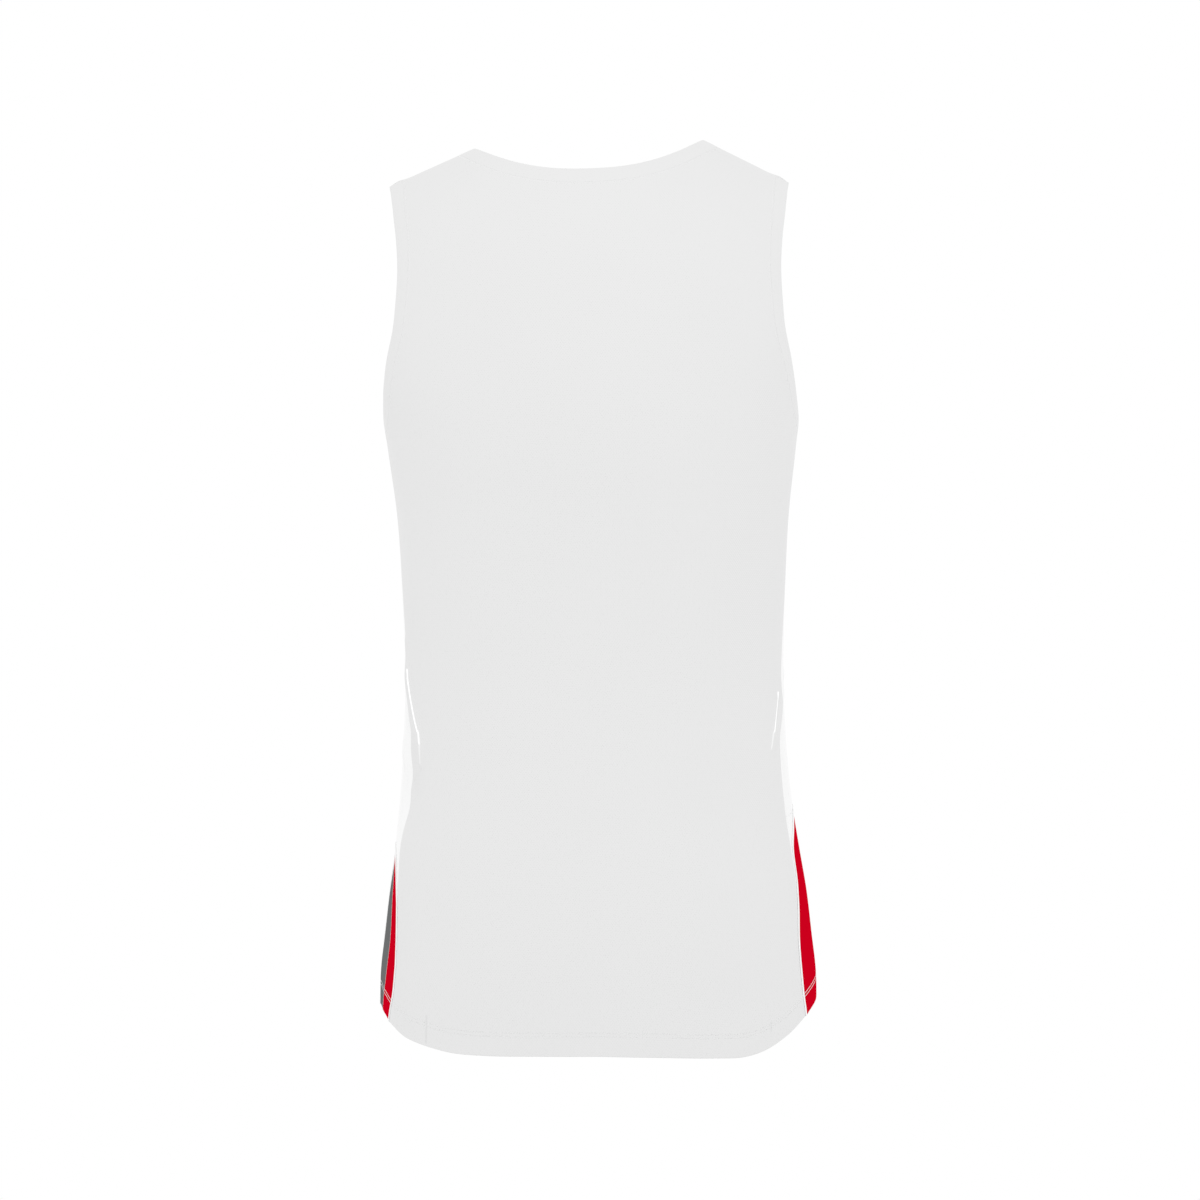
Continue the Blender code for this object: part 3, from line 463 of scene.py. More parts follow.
def crease_lift(bearing, climb):
    """Height of the narrow creases, whose joined lines don't fade between them."""
    total = np.zeros(np.broadcast(bearing, climb).shape)
    for crease, _, apart in off_lines(CREASES, bearing, climb):
        total = np.maximum(total, crease.lift * np.exp(-(apart / crease.width) ** 2))
    return total


def drape_lift(bearing, climb):
    """Height of the broad swells and ripples of the hanging cloth."""
    leans = leans_of(bearing)
    height = BLADE_HEIGHT + climb
    total = np.zeros(np.broadcast(bearing, climb).shape)
    for swell in SWELLS:
        across = (leans[swell.side] - math.radians(swell.lean)) * SIDE_REACH / swell.across
        up = (height - swell.height) / swell.up
        total = total + swell.lift * np.exp(-across ** 2 - up ** 2)
    for ripple in RIPPLES:
        wave = leans[1] * SIDE_REACH / ripple.across + height / ripple.up
        total = total + ripple.lift * np.sin(2 * math.pi * wave + ripple.phase)
    settled = np.clip((SHOULDER_TIP_HEIGHT - SETTLED_BELOW - height) / SETTLING_CLIMB, 0.0, 1.0)
    return total * settled


def tip_lift(bearing, climb):
    """Height of the rolled cloth at the shoulder tips, which falls away at the very corner."""
    points = smooth_form(bearing, climb)
    out = SHOULDER_HALF_WIDTH - np.abs(points[..., 0])
    down = ridge_height(points[..., 0]) + neck_tilt(points[..., 0]) - points[..., 2]
    apart = np.hypot(out, down + 0.5 * np.abs(points[..., 1]))
    rolled = TIP_ROLL * np.exp(-((apart - TIP_REACH) / (0.7 * TIP_REACH)) ** 2)
    return rolled - TIP_FALL * np.exp(-(apart / (0.5 * TIP_REACH)) ** 2)


# ---- finding places on it
def bearing_of(side, lean):
    """Plan angle of a lean on the wearer's left (+1) or right (-1)."""
    return lean if side > 0 else math.pi - lean


def lean_at_reach(side, reach, climb, facing):
    """Lean of the point that lies a distance behind (+1) or before (-1) the mid-side."""
    climb = np.asarray(climb, dtype=float)
    low, high = np.zeros(climb.shape), np.full(climb.shape, WIDEST_LEAN)
    for _ in range(HALVINGS):
        middle = (low + high) / 2
        found = facing * smooth_form(bearing_of(side, facing * middle), climb)[..., 1]
        low = np.where(found < reach, middle, low)
        high = np.where(found < reach, high, middle)
    return facing * (low + high) / 2


def lean_at_width(width, climb, facing):
    """Lean of the point at a distance from the middle, on the back (+1) or front (-1)."""
    level = level_of(climb, turn_of(climb))
    power = power_at(level)
    share = np.clip(width / half_width_at(level), 0.0, 1.0)
    return facing * np.arctan2((1 - share ** power) ** (1 / power), share)


def climb_at_height(width, height):
    """Climb of the point at a distance from the middle and a height."""
    share = (height - BLADE_HEIGHT) / (ridge_height(width) - BLADE_HEIGHT)
    over = TURN_RADIUS * np.arcsin(np.clip(share, 0.0, 1.0))
    return np.where(height < BLADE_HEIGHT, height - BLADE_HEIGHT, over)


def over_ridge(path):
    """The same points of a path, named from the other side of the shoulder ridge."""
    return paired(-path[..., 0], math.pi * TURN_RADIUS - path[..., 1])


def beside(path, distance, steps=4):
    """A path moved sideways over the cloth: inwards, to the left of its travel."""
    path = path.copy()
    for _ in range(steps):
        travel = np.gradient(points_of(path), axis=0)
        travel /= np.linalg.norm(travel, axis=-1, keepdims=True)
        across = np.cross(outward(path), travel)
        here = points_of(path)
        by_lean = (smooth_form(path[:, 0] + SIDE_STEP, path[:, 1]) - here) / SIDE_STEP
        by_climb = (smooth_form(path[:, 0], path[:, 1] + SIDE_STEP) - here) / SIDE_STEP
        for k in range(len(path)):
            tangents = np.stack([by_lean[k], by_climb[k]], axis=1)
            change = np.linalg.lstsq(tangents, across[k] * distance / steps, rcond=None)[0]
            path[k] += change
    return path


def way_along(points):
    """Way from the first of some points to each of them."""
    return np.concatenate([[0.0], np.cumsum(np.linalg.norm(np.diff(points, axis=0), axis=1))])


def at_index(path, index):
    """Points of a path at fractional indices."""
    whole = np.arange(len(path))
    return np.stack([np.interp(index, whole, path[:, c]) for c in range(2)], axis=-1)


def crossing(values, start, stop):
    """Fractional index between two indices at which a row of values changes sign."""
    for k in range(start, stop):
        if values[k] * values[k + 1] <= 0:
            return k + values[k] / (values[k] - values[k + 1])
    raise ValueError("an edge does not cross the seam it should")


def even_indices(path, start, stop, steps):
    """Fractional indices that divide a stretch of a path into steps of equal length."""
    fine = np.linspace(start, stop, FINE_STEPS)
    run = way_along(points_of(at_index(path, fine)))
    return np.interp(np.linspace(0.0, run[-1], steps + 1), run, fine)


# ---- edges and seams
def neck_edge():
    """Neckline from the middle of the back over the left shoulder to the middle of the front."""
    sweep = np.linspace(0.0, math.pi, DENSE)
    width = NECK_HALF_WIDTH * np.sin(sweep)
    facing = np.where(np.cos(sweep) > 0, 1.0, -1.0)
    drop = np.where(facing > 0, BACK_NECK_DROP, FRONT_NECK_DROP)
    curve = np.where(facing > 0, BACK_NECK_CURVE, FRONT_NECK_CURVE)
    height = -drop * (1 - np.sin(sweep) ** curve)
    climb = climb_at_height(width, height)
    return paired(lean_at_width(width, climb, facing), climb)


def armhole_edge():
    """Left armhole from the shoulder tip down the back, and up the front past the tip."""
    knots = []
    for level in ARMHOLE_SIDES:
        climb = climb_at_height(level.back_width, level.height)
        knots.append((lean_at_width(level.back_width, climb, 1), climb))
    for spot in ARMHOLE_FLOOR:
        climb = spot.height - BLADE_HEIGHT
        facing = 1 if spot.behind >= 0 else -1
        knots.append((lean_at_reach(1, abs(spot.behind), climb, facing), climb))
    for level in reversed(ARMHOLE_SIDES):
        climb = climb_at_height(level.front_width, level.height)
        knots.append((lean_at_width(level.front_width, climb, -1), climb))
    knots = np.array(knots, dtype=float)
    knots = np.concatenate([over_ridge(knots[-2:-1]), knots, over_ridge(knots[1:3])])
    place = way_along(points_of(knots))
    slopes = np.gradient(knots, place, axis=0)
    at = np.linspace(place[1], place[-1], DENSE)
    return eased(place, knots, slopes, at)


def shoulder_seam(width_from, width_to):
    """Shoulder seam on the back, between two distances from the middle."""
    width = np.linspace(width_from, width_to, SHOULDER_STEPS + 1)
    low, high = np.zeros(width.shape), np.full(width.shape, TURN_RADIUS * math.pi / 2)
    for _ in range(HALVINGS):
        climb = (low + high) / 2
        behind = smooth_form(lean_at_width(width, climb, 1), climb)[:, 1]
        low = np.where(behind > SHOULDER_SEAM_BACK, climb, low)
        high = np.where(behind > SHOULDER_SEAM_BACK, high, climb)
    return paired(lean_at_width(width, climb, 1), climb)


class Edges:
    """Every edge and seam that two pieces share, as (lean, climb) stations on the left."""

    def __init__(self):
        armhole = armhole_edge()
        armhole_line = beside(armhole, ARMHOLE_BAND)
        behind = points_of(armhole_line)[:, 1] - SHOULDER_SEAM_BACK
        tip = crossing(behind, 0, DENSE // 3)
        tip_again = crossing(behind, 3 * DENSE // 4, DENSE - 1)
        reach = points_of(armhole_line)[:, 1]
        seam = seam_reach_at[1](armhole_line[:, 1] + BLADE_HEIGHT)
        below = DENSE // 3, 2 * DENSE // 3
        back_seam = crossing(reach - seam, *below)
        front_seam = crossing(reach + seam, *below)
        mid_side = crossing(armhole_line[:, 0], *below)
        underarm = [even_indices(armhole_line, back_seam, mid_side, UNDERARM_STEPS),
                    even_indices(armhole_line, mid_side, front_seam, UNDERARM_STEPS)[1:]]
        stretches = [
            even_indices(armhole_line, tip, back_seam, ARMHOLE_STEPS[1]),
            np.concatenate(underarm),
            even_indices(armhole_line, front_seam, tip_again, ARMHOLE_STEPS[-1]),
        ]
        self.armhole_stretches = [at_index(armhole_line, stretch) for stretch in stretches]
        around = np.concatenate([stretches[0], stretches[1][1:], stretches[2][1:]])
        self.armhole = at_index(armhole, around)
        self.armhole_line = at_index(armhole_line, around)
        for path in (self.armhole, self.armhole_line):
            path[-1] = over_ridge(path[0])
        self.armhole_stretches[2][-1] = self.armhole_line[-1]

        neck = neck_edge()
        neck_line = beside(neck, NECK_BAND)
        neck_line[[0, -1], 0] = MID_BACK, -MID_BACK
        behind = points_of(neck_line)[:, 1] - SHOULDER_SEAM_BACK
        corner = crossing(behind, 2, DENSE // 2)
        over = (neck_line[:, 0] > 0)[:, None]
        seen_from_front = np.where(over, over_ridge(neck_line), neck_line)
        neck_back = even_indices(neck_line, 0, corner, NECK_STEPS[1])
        neck_front = even_indices(seen_from_front, corner, DENSE - 1, NECK_STEPS[-1])
        self.neck_line_back = at_index(neck_line, neck_back)
        self.neck_line_front = at_index(seen_from_front, neck_front)
        around = np.concatenate([neck_back, neck_front[1:]])
        over = (neck[:, 0] > 0)[:, None]
        from_front = at_index(np.where(over, over_ridge(neck), neck), around)
        on_back = (around < corner)[:, None]
        self.neck = np.where(on_back, at_index(neck, around), from_front)
        line_from_front = at_index(seen_from_front, around)
        self.neck_line = np.where(on_back, at_index(neck_line, around), line_from_front)

        outer_width = points_of(self.armhole_line[0])[0]
        inner_width = points_of(self.neck_line_back[-1])[0]
        self.shoulder = shoulder_seam(outer_width, inner_width)
        self.shoulder[0] = self.armhole_line[0]
        self.shoulder[-1] = self.neck_line_back[-1]
        self.junction = {1: float(self.armhole_stretches[0][-1][1]),
                         -1: float(self.armhole_stretches[2][0][1])}


# ---- grids of the pieces
def trunk_shares():
    """Shares of the way from the hem to the underarm at which the trunk's rows lie."""
    hem = np.array(HEM_ROWS) / TRUNK_LENGTH
    legs = np.linspace(hem[-1], LEG_SHARE, LEG_STEPS + 1)[1:]
    way = 1 - (1 - np.linspace(0.0, 1.0, ARCH_STEPS + 1)[1:]) ** 2
    arch = LEG_SHARE + (ARCH_SHARE - LEG_SHARE) * way
    way = np.linspace(0.0, 1.0, UPPER_STEPS + 1)[1:] ** 1.25
    return np.concatenate([hem, legs, arch, ARCH_SHARE + (1 - ARCH_SHARE) * way])


SHARES = trunk_shares()
INSERT_ROWS = len(HEM_ROWS) - 1 + LEG_STEPS
ARCH_ROWS = INSERT_ROWS + ARCH_STEPS


def climb_at_share(side, lean, share, top):
    """Climb of a share of the way from the hem to a top level, at a lean."""
    hem = hem_height_at[side](np.degrees(lean)) - BLADE_HEIGHT
    return hem + (top - hem) * share


def seam_line(side, facing, top):
    """Side seam of one side, at the trunk's shares."""
    climb = climb_at_share(side, 0.0, SHARES, top)
    for _ in range(SETTLING):
        reach = seam_reach_at[side](climb + BLADE_HEIGHT)
        lean = lean_at_reach(side, reach, climb, facing)
        climb = climb_at_share(side, lean, SHARES, top)
    return paired(lean, climb)


def insert_point_lean(side):
    """Lean of the point of the arch."""
    return math.radians(float(insert_middle_at[side](1.0)))


def arch_line(side, facing, seam):
    """Outer line of the insert's piping, on the trunk rows up to the point of the arch."""
    arch = ARCHES[side]
    line = seam[:ARCH_ROWS + 1].copy()
    foot = line[INSERT_ROWS, 1]
    rows = slice(INSERT_ROWS + 1, ARCH_ROWS + 1)
    rise = (SHARES[rows] - SHARES[INSERT_ROWS]) / (SHARES[ARCH_ROWS] - SHARES[INSERT_ROWS])
    climb = foot + (arch.top - BLADE_HEIGHT - foot) * rise
    full = lean_at_reach(side, seam_reach_at[side](foot + BLADE_HEIGHT), climb, facing)
    middle = insert_point_lean(side)
    line[rows] = np.stack([middle + (full - middle) * (1 - rise) ** arch.curve, climb], axis=-1)
    return line


def patch(bottom, top, outer, inner, crowd):
    """Grid of (lean, climb) filled in between four edges, by rows up from the bottom."""
    v = np.linspace(0.0, 1.0, len(outer))[:, None, None]
    even = np.linspace(0.0, 1.0, len(bottom))
    u = (1 - v) * crowd[None, :, None] + v * even[None, :, None]
    between_ends = (1 - v) * bottom[None] + v * top[None]
    between_sides = (1 - u) * outer[:, None] + u * inner[:, None]
    corners = ((1 - u) * (1 - v) * bottom[0] + u * (1 - v) * bottom[-1]
               + (1 - u) * v * top[0] + u * v * top[-1])
    return between_ends + between_sides - corners


def relaxed(grid):
    """A grid with its inner points spread, so that its rows and columns never cross."""
    grid = grid * (LEAN_LENGTH, 1.0)
    for _ in range(RELAXING):
        over = (grid[1:-1, 2:] - grid[1:-1, :-2]) / 2
        up = (grid[2:, 1:-1] - grid[:-2, 1:-1]) / 2
        twist = (grid[2:, 2:] - grid[2:, :-2] - grid[:-2, 2:] + grid[:-2, :-2]) / 4
        over_2, up_2, both = ((a * b).sum(axis=-1, keepdims=True)
                              for a, b in ((over, over), (up, up), (over, up)))
        beside_2 = up_2 * (grid[1:-1, 2:] + grid[1:-1, :-2])
        above_2 = over_2 * (grid[2:, 1:-1] + grid[:-2, 1:-1])
        grid[1:-1, 1:-1] = (beside_2 + above_2 - 2 * both * twist) / (2 * (over_2 + up_2))
    return grid / (LEAN_LENGTH, 1.0)


def with_edge_lines(grid, axis, at_start, at_end):
    """A grid with extra lines in the cells beside its first or last line."""
    last = grid.shape[axis] - 1
    index = [float(k) for k in range(last + 1)]
    if at_start:
        index += list(EDGE_LINES)
    if at_end:
        index += [last - line for line in EDGE_LINES]
    index = np.array(sorted(index))
    low = np.minimum(index.astype(int), last - 1)
    share = (index - low).reshape([-1 if a == axis else 1 for a in range(grid.ndim)])
    return np.take(grid, low, axis) * (1 - share) + np.take(grid, low + 1, axis) * share


def panel_grids(edges, side, facing):
    """Trunk and shoulder grids of leans of one half of the back (+1) or front (-1) panel."""
    columns = SHOULDER_STEPS + NECK_STEPS[facing]
    crowd = np.linspace(0.0, 1.0, columns + 1) ** EDGE_CROWDING
    seam = seam_line(side, facing, edges.junction[facing])
    lean = seam[:, :1] + (facing * MID_BACK - seam[:, :1]) * crowd[None]
    climb = climb_at_share(side, lean, SHARES[:, None], edges.junction[facing])
    trunk = paired(lean, climb)
    if facing > 0:
        outer = edges.armhole_stretches[0][::-1]
        over_top = np.concatenate([edges.shoulder, edges.neck_line_back[::-1][1:]])
    else:
        outer = edges.armhole_stretches[2]
        over_top = np.concatenate([over_ridge(edges.shoulder), edges.neck_line_front[1:]])
    outer = outer.copy()
    outer[0] = trunk[-1, 0]
    middle_climb = np.linspace(edges.junction[facing], over_top[-1][1], len(outer))
    inner = paired(np.full(len(outer), facing * MID_BACK), middle_climb)
    shoulder = relaxed(patch(trunk[-1], over_top, outer, inner, crowd))
    trunk = with_edge_lines(trunk, 1, True, False)
    shoulder = with_edge_lines(with_edge_lines(shoulder, 1, True, False), 0, False, True)
    return trunk, shoulder


def side_grids(edges, side):
    """The two halves of a side panel, behind and before the mid-side line."""
    halves = []
    across = np.linspace(0.0, 1.0, UNDERARM_STEPS + 1)[:, None]
    for facing in (1, -1):
        seam = seam_line(side, facing, edges.junction[facing])
        arch = arch_line(side, facing, seam)
        lip = edges.armhole_stretches[1]
        lip = lip[:UNDERARM_STEPS + 1][::-1] if facing > 0 else lip[UNDERARM_STEPS:]
        grid = []
        for k in range(INSERT_ROWS, len(SHARES)):
            if k <= ARCH_ROWS:
                grid.append((1 - across) * arch[k] + across * seam[k])
                continue
            rise = (SHARES[k] - SHARES[ARCH_ROWS]) / (1 - SHARES[ARCH_ROWS])
            row = (1 - rise) * grid[ARCH_ROWS - INSERT_ROWS] + rise * lip
            row += across * (seam[k] - row[-1])
            grid.append(row)
        grid = with_edge_lines(np.array(grid), 1, True, True)
        halves.append(with_edge_lines(grid, 0, False, True))
    return halves


def piping_lines(edges, side):
    """Outer and inner line of the piping, from the back of the hem to the front of the hem."""
    lines = [arch_line(side, facing, seam_line(side, facing, edges.junction[facing]))
             for facing in (1, -1)]
    outer = np.concatenate([lines[0], lines[1][::-1][1:]])
    inner = beside(outer, PIPING)
    inner[ARCH_ROWS, 0] = insert_point_lean(side)
    return outer, inner


def insert_grid(inner_line, side, facing):
    """Back (+1) or front (-1) half of an insert, out to the piping's inner line."""
    rows = ARCH_ROWS + 1
    edge = inner_line[:rows] if facing > 0 else inner_line[::-1][:rows]
    across = np.linspace(0.0, 1.0, INSERT_COLUMNS + 1)[None, :, None]
    rise = ((edge[:, 1] - edge[0, 1]) / (edge[-1, 1] - edge[0, 1]))[:, None, None]
    middle = np.radians(insert_middle_at[side](rise))
    lean = middle + across * (edge[:, None, :1] - middle)
    hem = hem_height_at[side](np.degrees(lean)) - BLADE_HEIGHT
    climb = hem + (edge[-1, 1] - hem) * rise
    climb[:, -1, 0] = edge[:, 1]
    grid = np.concatenate([lean, climb], axis=-1)
    grid[-1] = edge[-1]
    return with_edge_lines(grid, 1, True, True)


def band_grid(edge, line):
    """Grid across a band, from its free edge to the line where it is sewn on."""
    across = np.array(BAND_STEPS)[None, :, None]
    return (1 - across) * edge[:, None] + across * line[:, None]


# ---- sheets and walls
Sheet = namedtuple("Sheet", "path normals pattern faces rim")


def way_over(point_at, start, stop):
    """Length of cloth from a start to a stop, along a line of points by one number."""
    total = 0.0
    for k in range(QUADRATURE):
        at = start + (stop - start) * (k + 0.5) / QUADRATURE
        ahead, behind = point_at(at + WAY_STEP), point_at(at - WAY_STEP)
        total = total + np.linalg.norm(ahead - behind, axis=-1) / (2 * WAY_STEP)
    return total / QUADRATURE * (stop - start)


def way_round(bearing, climb, start):
    """Way over the cloth at a level climb, from a starting bearing to each bearing."""
    return way_over(lambda at: smooth_form(at, climb), start, bearing)


def way_up(bearing, climb):
    """Way over the cloth up a bearing, from the shoulder blades."""
    over = way_over(lambda at: smooth_form(bearing, at), 0.0, np.maximum(climb, 0.0))
    return np.where(climb > 0, over, climb)


def cloth_pattern(grid, start):
    """Places on the flat cloth, in metres, of a grid of bearings and climbs."""
    return np.stack([way_round(grid[..., 0], grid[..., 1], start),
                     way_up(grid[..., 0], grid[..., 1])], axis=-1)


def strip_pattern(grid):
    """Places on a strip of cloth, in metres: along it and across it."""
    points = points_of(grid)
    along = way_along(points[:, points.shape[1] // 2])
    steps = np.linalg.norm(np.diff(points, axis=1), axis=-1)
    across = np.concatenate([np.zeros((len(points), 1)), np.cumsum(steps, axis=1)], axis=1)
    return np.stack([np.broadcast_to(along[:, None], across.shape), across], axis=-1)


def tree_of(points):
    """Points in a tree that finds the nearest one."""
    tree = KDTree(len(points))
    for k, point in enumerate(points):
        tree.insert(Vector(point), k)
    tree.balance()
    return tree


def welded(grids):
    """One sheet from several grids of bearings and climbs, each with its flat pattern."""
    path, pattern, faces = [], [], []
    for grid, flat in grids:
        base = len(path)
        rows, columns = grid.shape[:2]
        path.extend(grid.reshape(-1, 2))
        pattern.extend(flat.reshape(-1, 2))
        for r in range(rows - 1):
            for c in range(columns - 1):
                a = base + r * columns + c
                faces.append((a, a + 1, a + 1 + columns, a + columns))
    path, pattern = np.array(path), np.array(pattern)
    points = points_of(path)
    tree = tree_of(points)
    same = [min(found[1] for found in tree.find_range(Vector(p), WELD)) for p in points]
    kept = sorted(set(same))
    place = {old: new for new, old in enumerate(kept)}
    sheet_faces = []
    for face in faces:
        corners = [place[same[k]] for k in face]
        corners = [c for k, c in enumerate(corners) if c != corners[k - 1]]
        if len(corners) > 2:
            sheet_faces.append(corners)
    path, pattern, points = path[kept], pattern[kept], points[kept]
    normals = outward(path)
    for face in sheet_faces:
        a, b, c = (points[k] for k in face[:3])
        if np.dot(np.cross(b - a, c - b), normals[face[0]]) < 0:
            face.reverse()
    return Sheet(path, normals, pattern, sheet_faces, free_edges(sheet_faces))


def free_edges(faces):
    """Edges that belong to one face only, each in its face's direction."""
    count = {}
    for face in faces:
        for k, corner in enumerate(face):
            edge = (face[k - 1], corner)
            count[frozenset(edge)] = None if frozenset(edge) in count else edge
    return [edge for edge in count.values() if edge]


def drawn_in_ways(points, normals, edges):
    """Direction in over the cloth, and its length for a unit's gap, at each edge point."""
    inward = {}
    for a, b in edges:
        along = points[b] - points[a]
        for k in (a, b):
            left = np.cross(normals[k], along)
            inward.setdefault(k, []).append(left / np.linalg.norm(left))
    ways = {}
    for k, found in inward.items():
        way = sum(found)
        way = way / max(np.linalg.norm(way), 1e-9)
        ways[k] = way / max(float(way @ found[0]), 0.4)
    return ways


def above_hem(path):
    """How far each point of a path of bearings and climbs lies above the hem's edge."""
    leans = leans_of(path[:, 0])
    on_left = np.cos(path[:, 0]) >= 0
    left = hem_height_at[1](np.degrees(leans[1]))
    right = hem_height_at[-1](np.degrees(leans[-1]))
    return path[:, 1] + BLADE_HEIGHT - np.where(on_left, left, right)


def sewn_distance(points, edges, height_above):
    """Distance of each point from the sheet's sewn edges, which are all but the hem's."""
    marks = []
    for a, b in edges:
        if max(height_above[a], height_above[b]) > AT_HEM:
            marks += [points[a] * (1 - s) + points[b] * s for s in (0.0, 0.25, 0.5, 0.75)]
    tree = tree_of(marks)
    return np.array([tree.find(Vector(point))[2] for point in points])


def form_lift(path):
    """Height of folds, creases and swells above the smooth form, along a path."""
    bearing, climb = path[..., 0], path[..., 1]
    return (ridges_lift(FOLDS + TROUGHS, bearing, climb) + crease_lift(bearing, climb)
            + drape_lift(bearing, climb) + tip_lift(bearing, climb))


def sewing_lift(path, points, edges):
    """Depth of the grooves at seams and of the hem's needle rows."""
    height_above = above_hem(path)
    apart = sewn_distance(points, edges, height_above)
    groove = -GROOVE_DEPTH * np.exp(-(apart / GROOVE_WIDTH) ** 2)
    for needle in (FIRST_NEEDLE, SECOND_NEEDLE):
        groove -= NEEDLE_DENT * np.exp(-((height_above - needle) / NEEDLE_WIDTH) ** 2)
    return groove


def cloth_wall(name, sheet, depth, lift, rounded):
    """Closed wall of cloth over a sheet, its depth inwards, with some edges rounded."""
    base = points_of(sheet.path)
    outside = base + sheet.normals * lift[:, None]
    inside = outside - sheet.normals * depth[:, None]
    ways = drawn_in_ways(base, sheet.normals, sheet.rim)
    rim = sorted(ways)
    middle = []
    for k in rim:
        middle.append((outside[k] + inside[k]) / 2 + ways[k] * SEAM_GAP / 2)
        for face in (outside, inside):
            face[k] += ways[k] * (SEAM_GAP / 2 + EDGE_ROUNDING * rounded[k])
    shift = len(base)
    mid = {k: 2 * shift + n for n, k in enumerate(rim)}
    faces = [list(face) for face in sheet.faces]
    faces += [[k + shift for k in reversed(face)] for face in sheet.faces]
    for a, b in sheet.rim:
        faces += [[b, a, mid[a], mid[b]], [mid[b], mid[a], a + shift, b + shift]]
    mesh = bpy.data.meshes.new(name)
    mesh.from_pydata(np.concatenate([outside, inside, np.array(middle)]).tolist(), [], faces)
    mesh.validate()
    mesh.shade_smooth()
    crisp = {frozenset((a + layer, b + layer)) for a, b in sheet.rim
             if not (rounded[a] and rounded[b]) for layer in (0, shift)}
    sharp = mesh.attributes.new("sharp_edge", "BOOLEAN", "EDGE")
    sharp.data.foreach_set("value", [frozenset(edge.vertices) in crisp for edge in mesh.edges])
    flat = np.concatenate([sheet.pattern, sheet.pattern, sheet.pattern[rim]])
    corner = np.zeros(len(mesh.loops), dtype=np.int32)
    mesh.loops.foreach_get("vertex_index", corner)
    mesh.uv_layers.new(name="cloth").data.foreach_set("uv", flat[corner].ravel())
    return placed(name, mesh)


def placed(name, data):
    """A new object of its data, linked into the scene."""
    made = bpy.data.objects.new(name, data)
    bpy.context.scene.collection.objects.link(made)
    return made


def worn(piece, finish, node):
    """Give a piece its finish, and let it ride on the frame in place of a node."""
    piece.data.materials.append(finish_named(finish))
    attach(piece, "root")
    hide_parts(node)


# ---- materials
def add_node(tree, kind, settings=None, values=None):
    """Add a node by its type, its settings, and its sockets' values, wires or sockets."""
    made = tree.nodes.new(kind)
    for key, value in (settings or {}).items():
        setattr(made, key, value)
    for key, value in (values or {}).items():
        value = value.socket if isinstance(value, Wire) else value
        if isinstance(value, bpy.types.NodeSocket):
            tree.links.new(value, made.inputs[key])
        else:
            made.inputs[key].default_value = value
    return made


def arithmetic(operation, swapped=False):
    """A method that adds one Math node to a wire."""
    def apply(self, *others):
        values = (*others, self) if swapped else (self, *others)
        return self.finish.node("ShaderNodeMath", {"operation": operation},
                                dict(enumerate(values)))
    return apply


class Wire:
    """An output socket in a finish, on which the arithmetic signs add Math nodes."""

    def __init__(self, finish, socket):
        self.finish, self.socket = finish, socket

    __add__, __sub__ = arithmetic("ADD"), arithmetic("SUBTRACT")
    __rsub__ = arithmetic("SUBTRACT", swapped=True)
    __mul__, __truediv__ = arithmetic("MULTIPLY"), arithmetic("DIVIDE")
    __pow__ = arithmetic("POWER")
    floor, fraction = arithmetic("FLOOR"), arithmetic("FRACT")
    absolute, sine = arithmetic("ABSOLUTE"), arithmetic("SINE")

    def smooth_between(self, low, high):
        """0 below low and 1 above high, with a soft step between."""
        return self.finish.node(
            "ShaderNodeMapRange", {"interpolation_type": "SMOOTHSTEP"},
            {"Value": self, "From Min": low, "From Max": high, "To Min": 0.0, "To Max": 1.0})


class Finish:
    """A material under construction."""

    def __init__(self, name, roughness, sheen=0.0, shine=0.25):
        self.material = bpy.data.materials.new(name)
        self.material.use_nodes = True
        self.tree = self.material.node_tree
        self.shader = self.tree.nodes["Principled BSDF"]
        self.shader.inputs["Roughness"].default_value = roughness
        self.shader.inputs["Sheen Weight"].default_value = sheen
        self.shader.inputs["Sheen Roughness"].default_value = 0.5
        self.shader.inputs["Specular IOR Level"].default_value = shine

    def node(self, kind, settings=None, values=None, output=0):
        """Add a node to the finish, and give the wire of one of its outputs."""
        return Wire(self, add_node(self.tree, kind, settings, values).outputs[output])

    def flat_place(self):
        """Place on the flat cloth in metres, round and up."""
        place = self.node("ShaderNodeUVMap", {"uv_map": "cloth"})
        split = self.node("ShaderNodeSeparateXYZ", None, {0: place})
        return split, Wire(self, split.socket.node.outputs[1])

    def noise(self, scale, detail):
        """Soft noise between 0 and 1, over the object's own coordinates."""
        place = self.node("ShaderNodeTexCoord", None, None, "Object")
        return self.node("ShaderNodeTexNoise", None,
                         {"Vector": place, "Scale": scale, "Detail": detail})

    def between(self, share, first, second):
        """Mix of two colours."""
        return self.node("ShaderNodeMix", {"data_type": "RGBA"},
                         {0: share, 6: first, 7: second}, 2)

    def wear(self, colour, bump_height, bump_depth, bump_strength):
        """Wire the colour and the bump into the shader, and return the material."""
        self.tree.links.new(colour.socket, self.shader.inputs["Base Color"])
        bump = self.node("ShaderNodeBump", None, {"Strength": bump_strength,
                                                  "Distance": bump_depth,
                                                  "Height": bump_height})
        self.tree.links.new(bump.socket, self.shader.inputs["Normal"])
        return self.material


def solid_colour(colour, share=1.0):
    """A colour with its alpha, darkened by a share."""
    return (*(channel * share for channel in colour), 1.0)


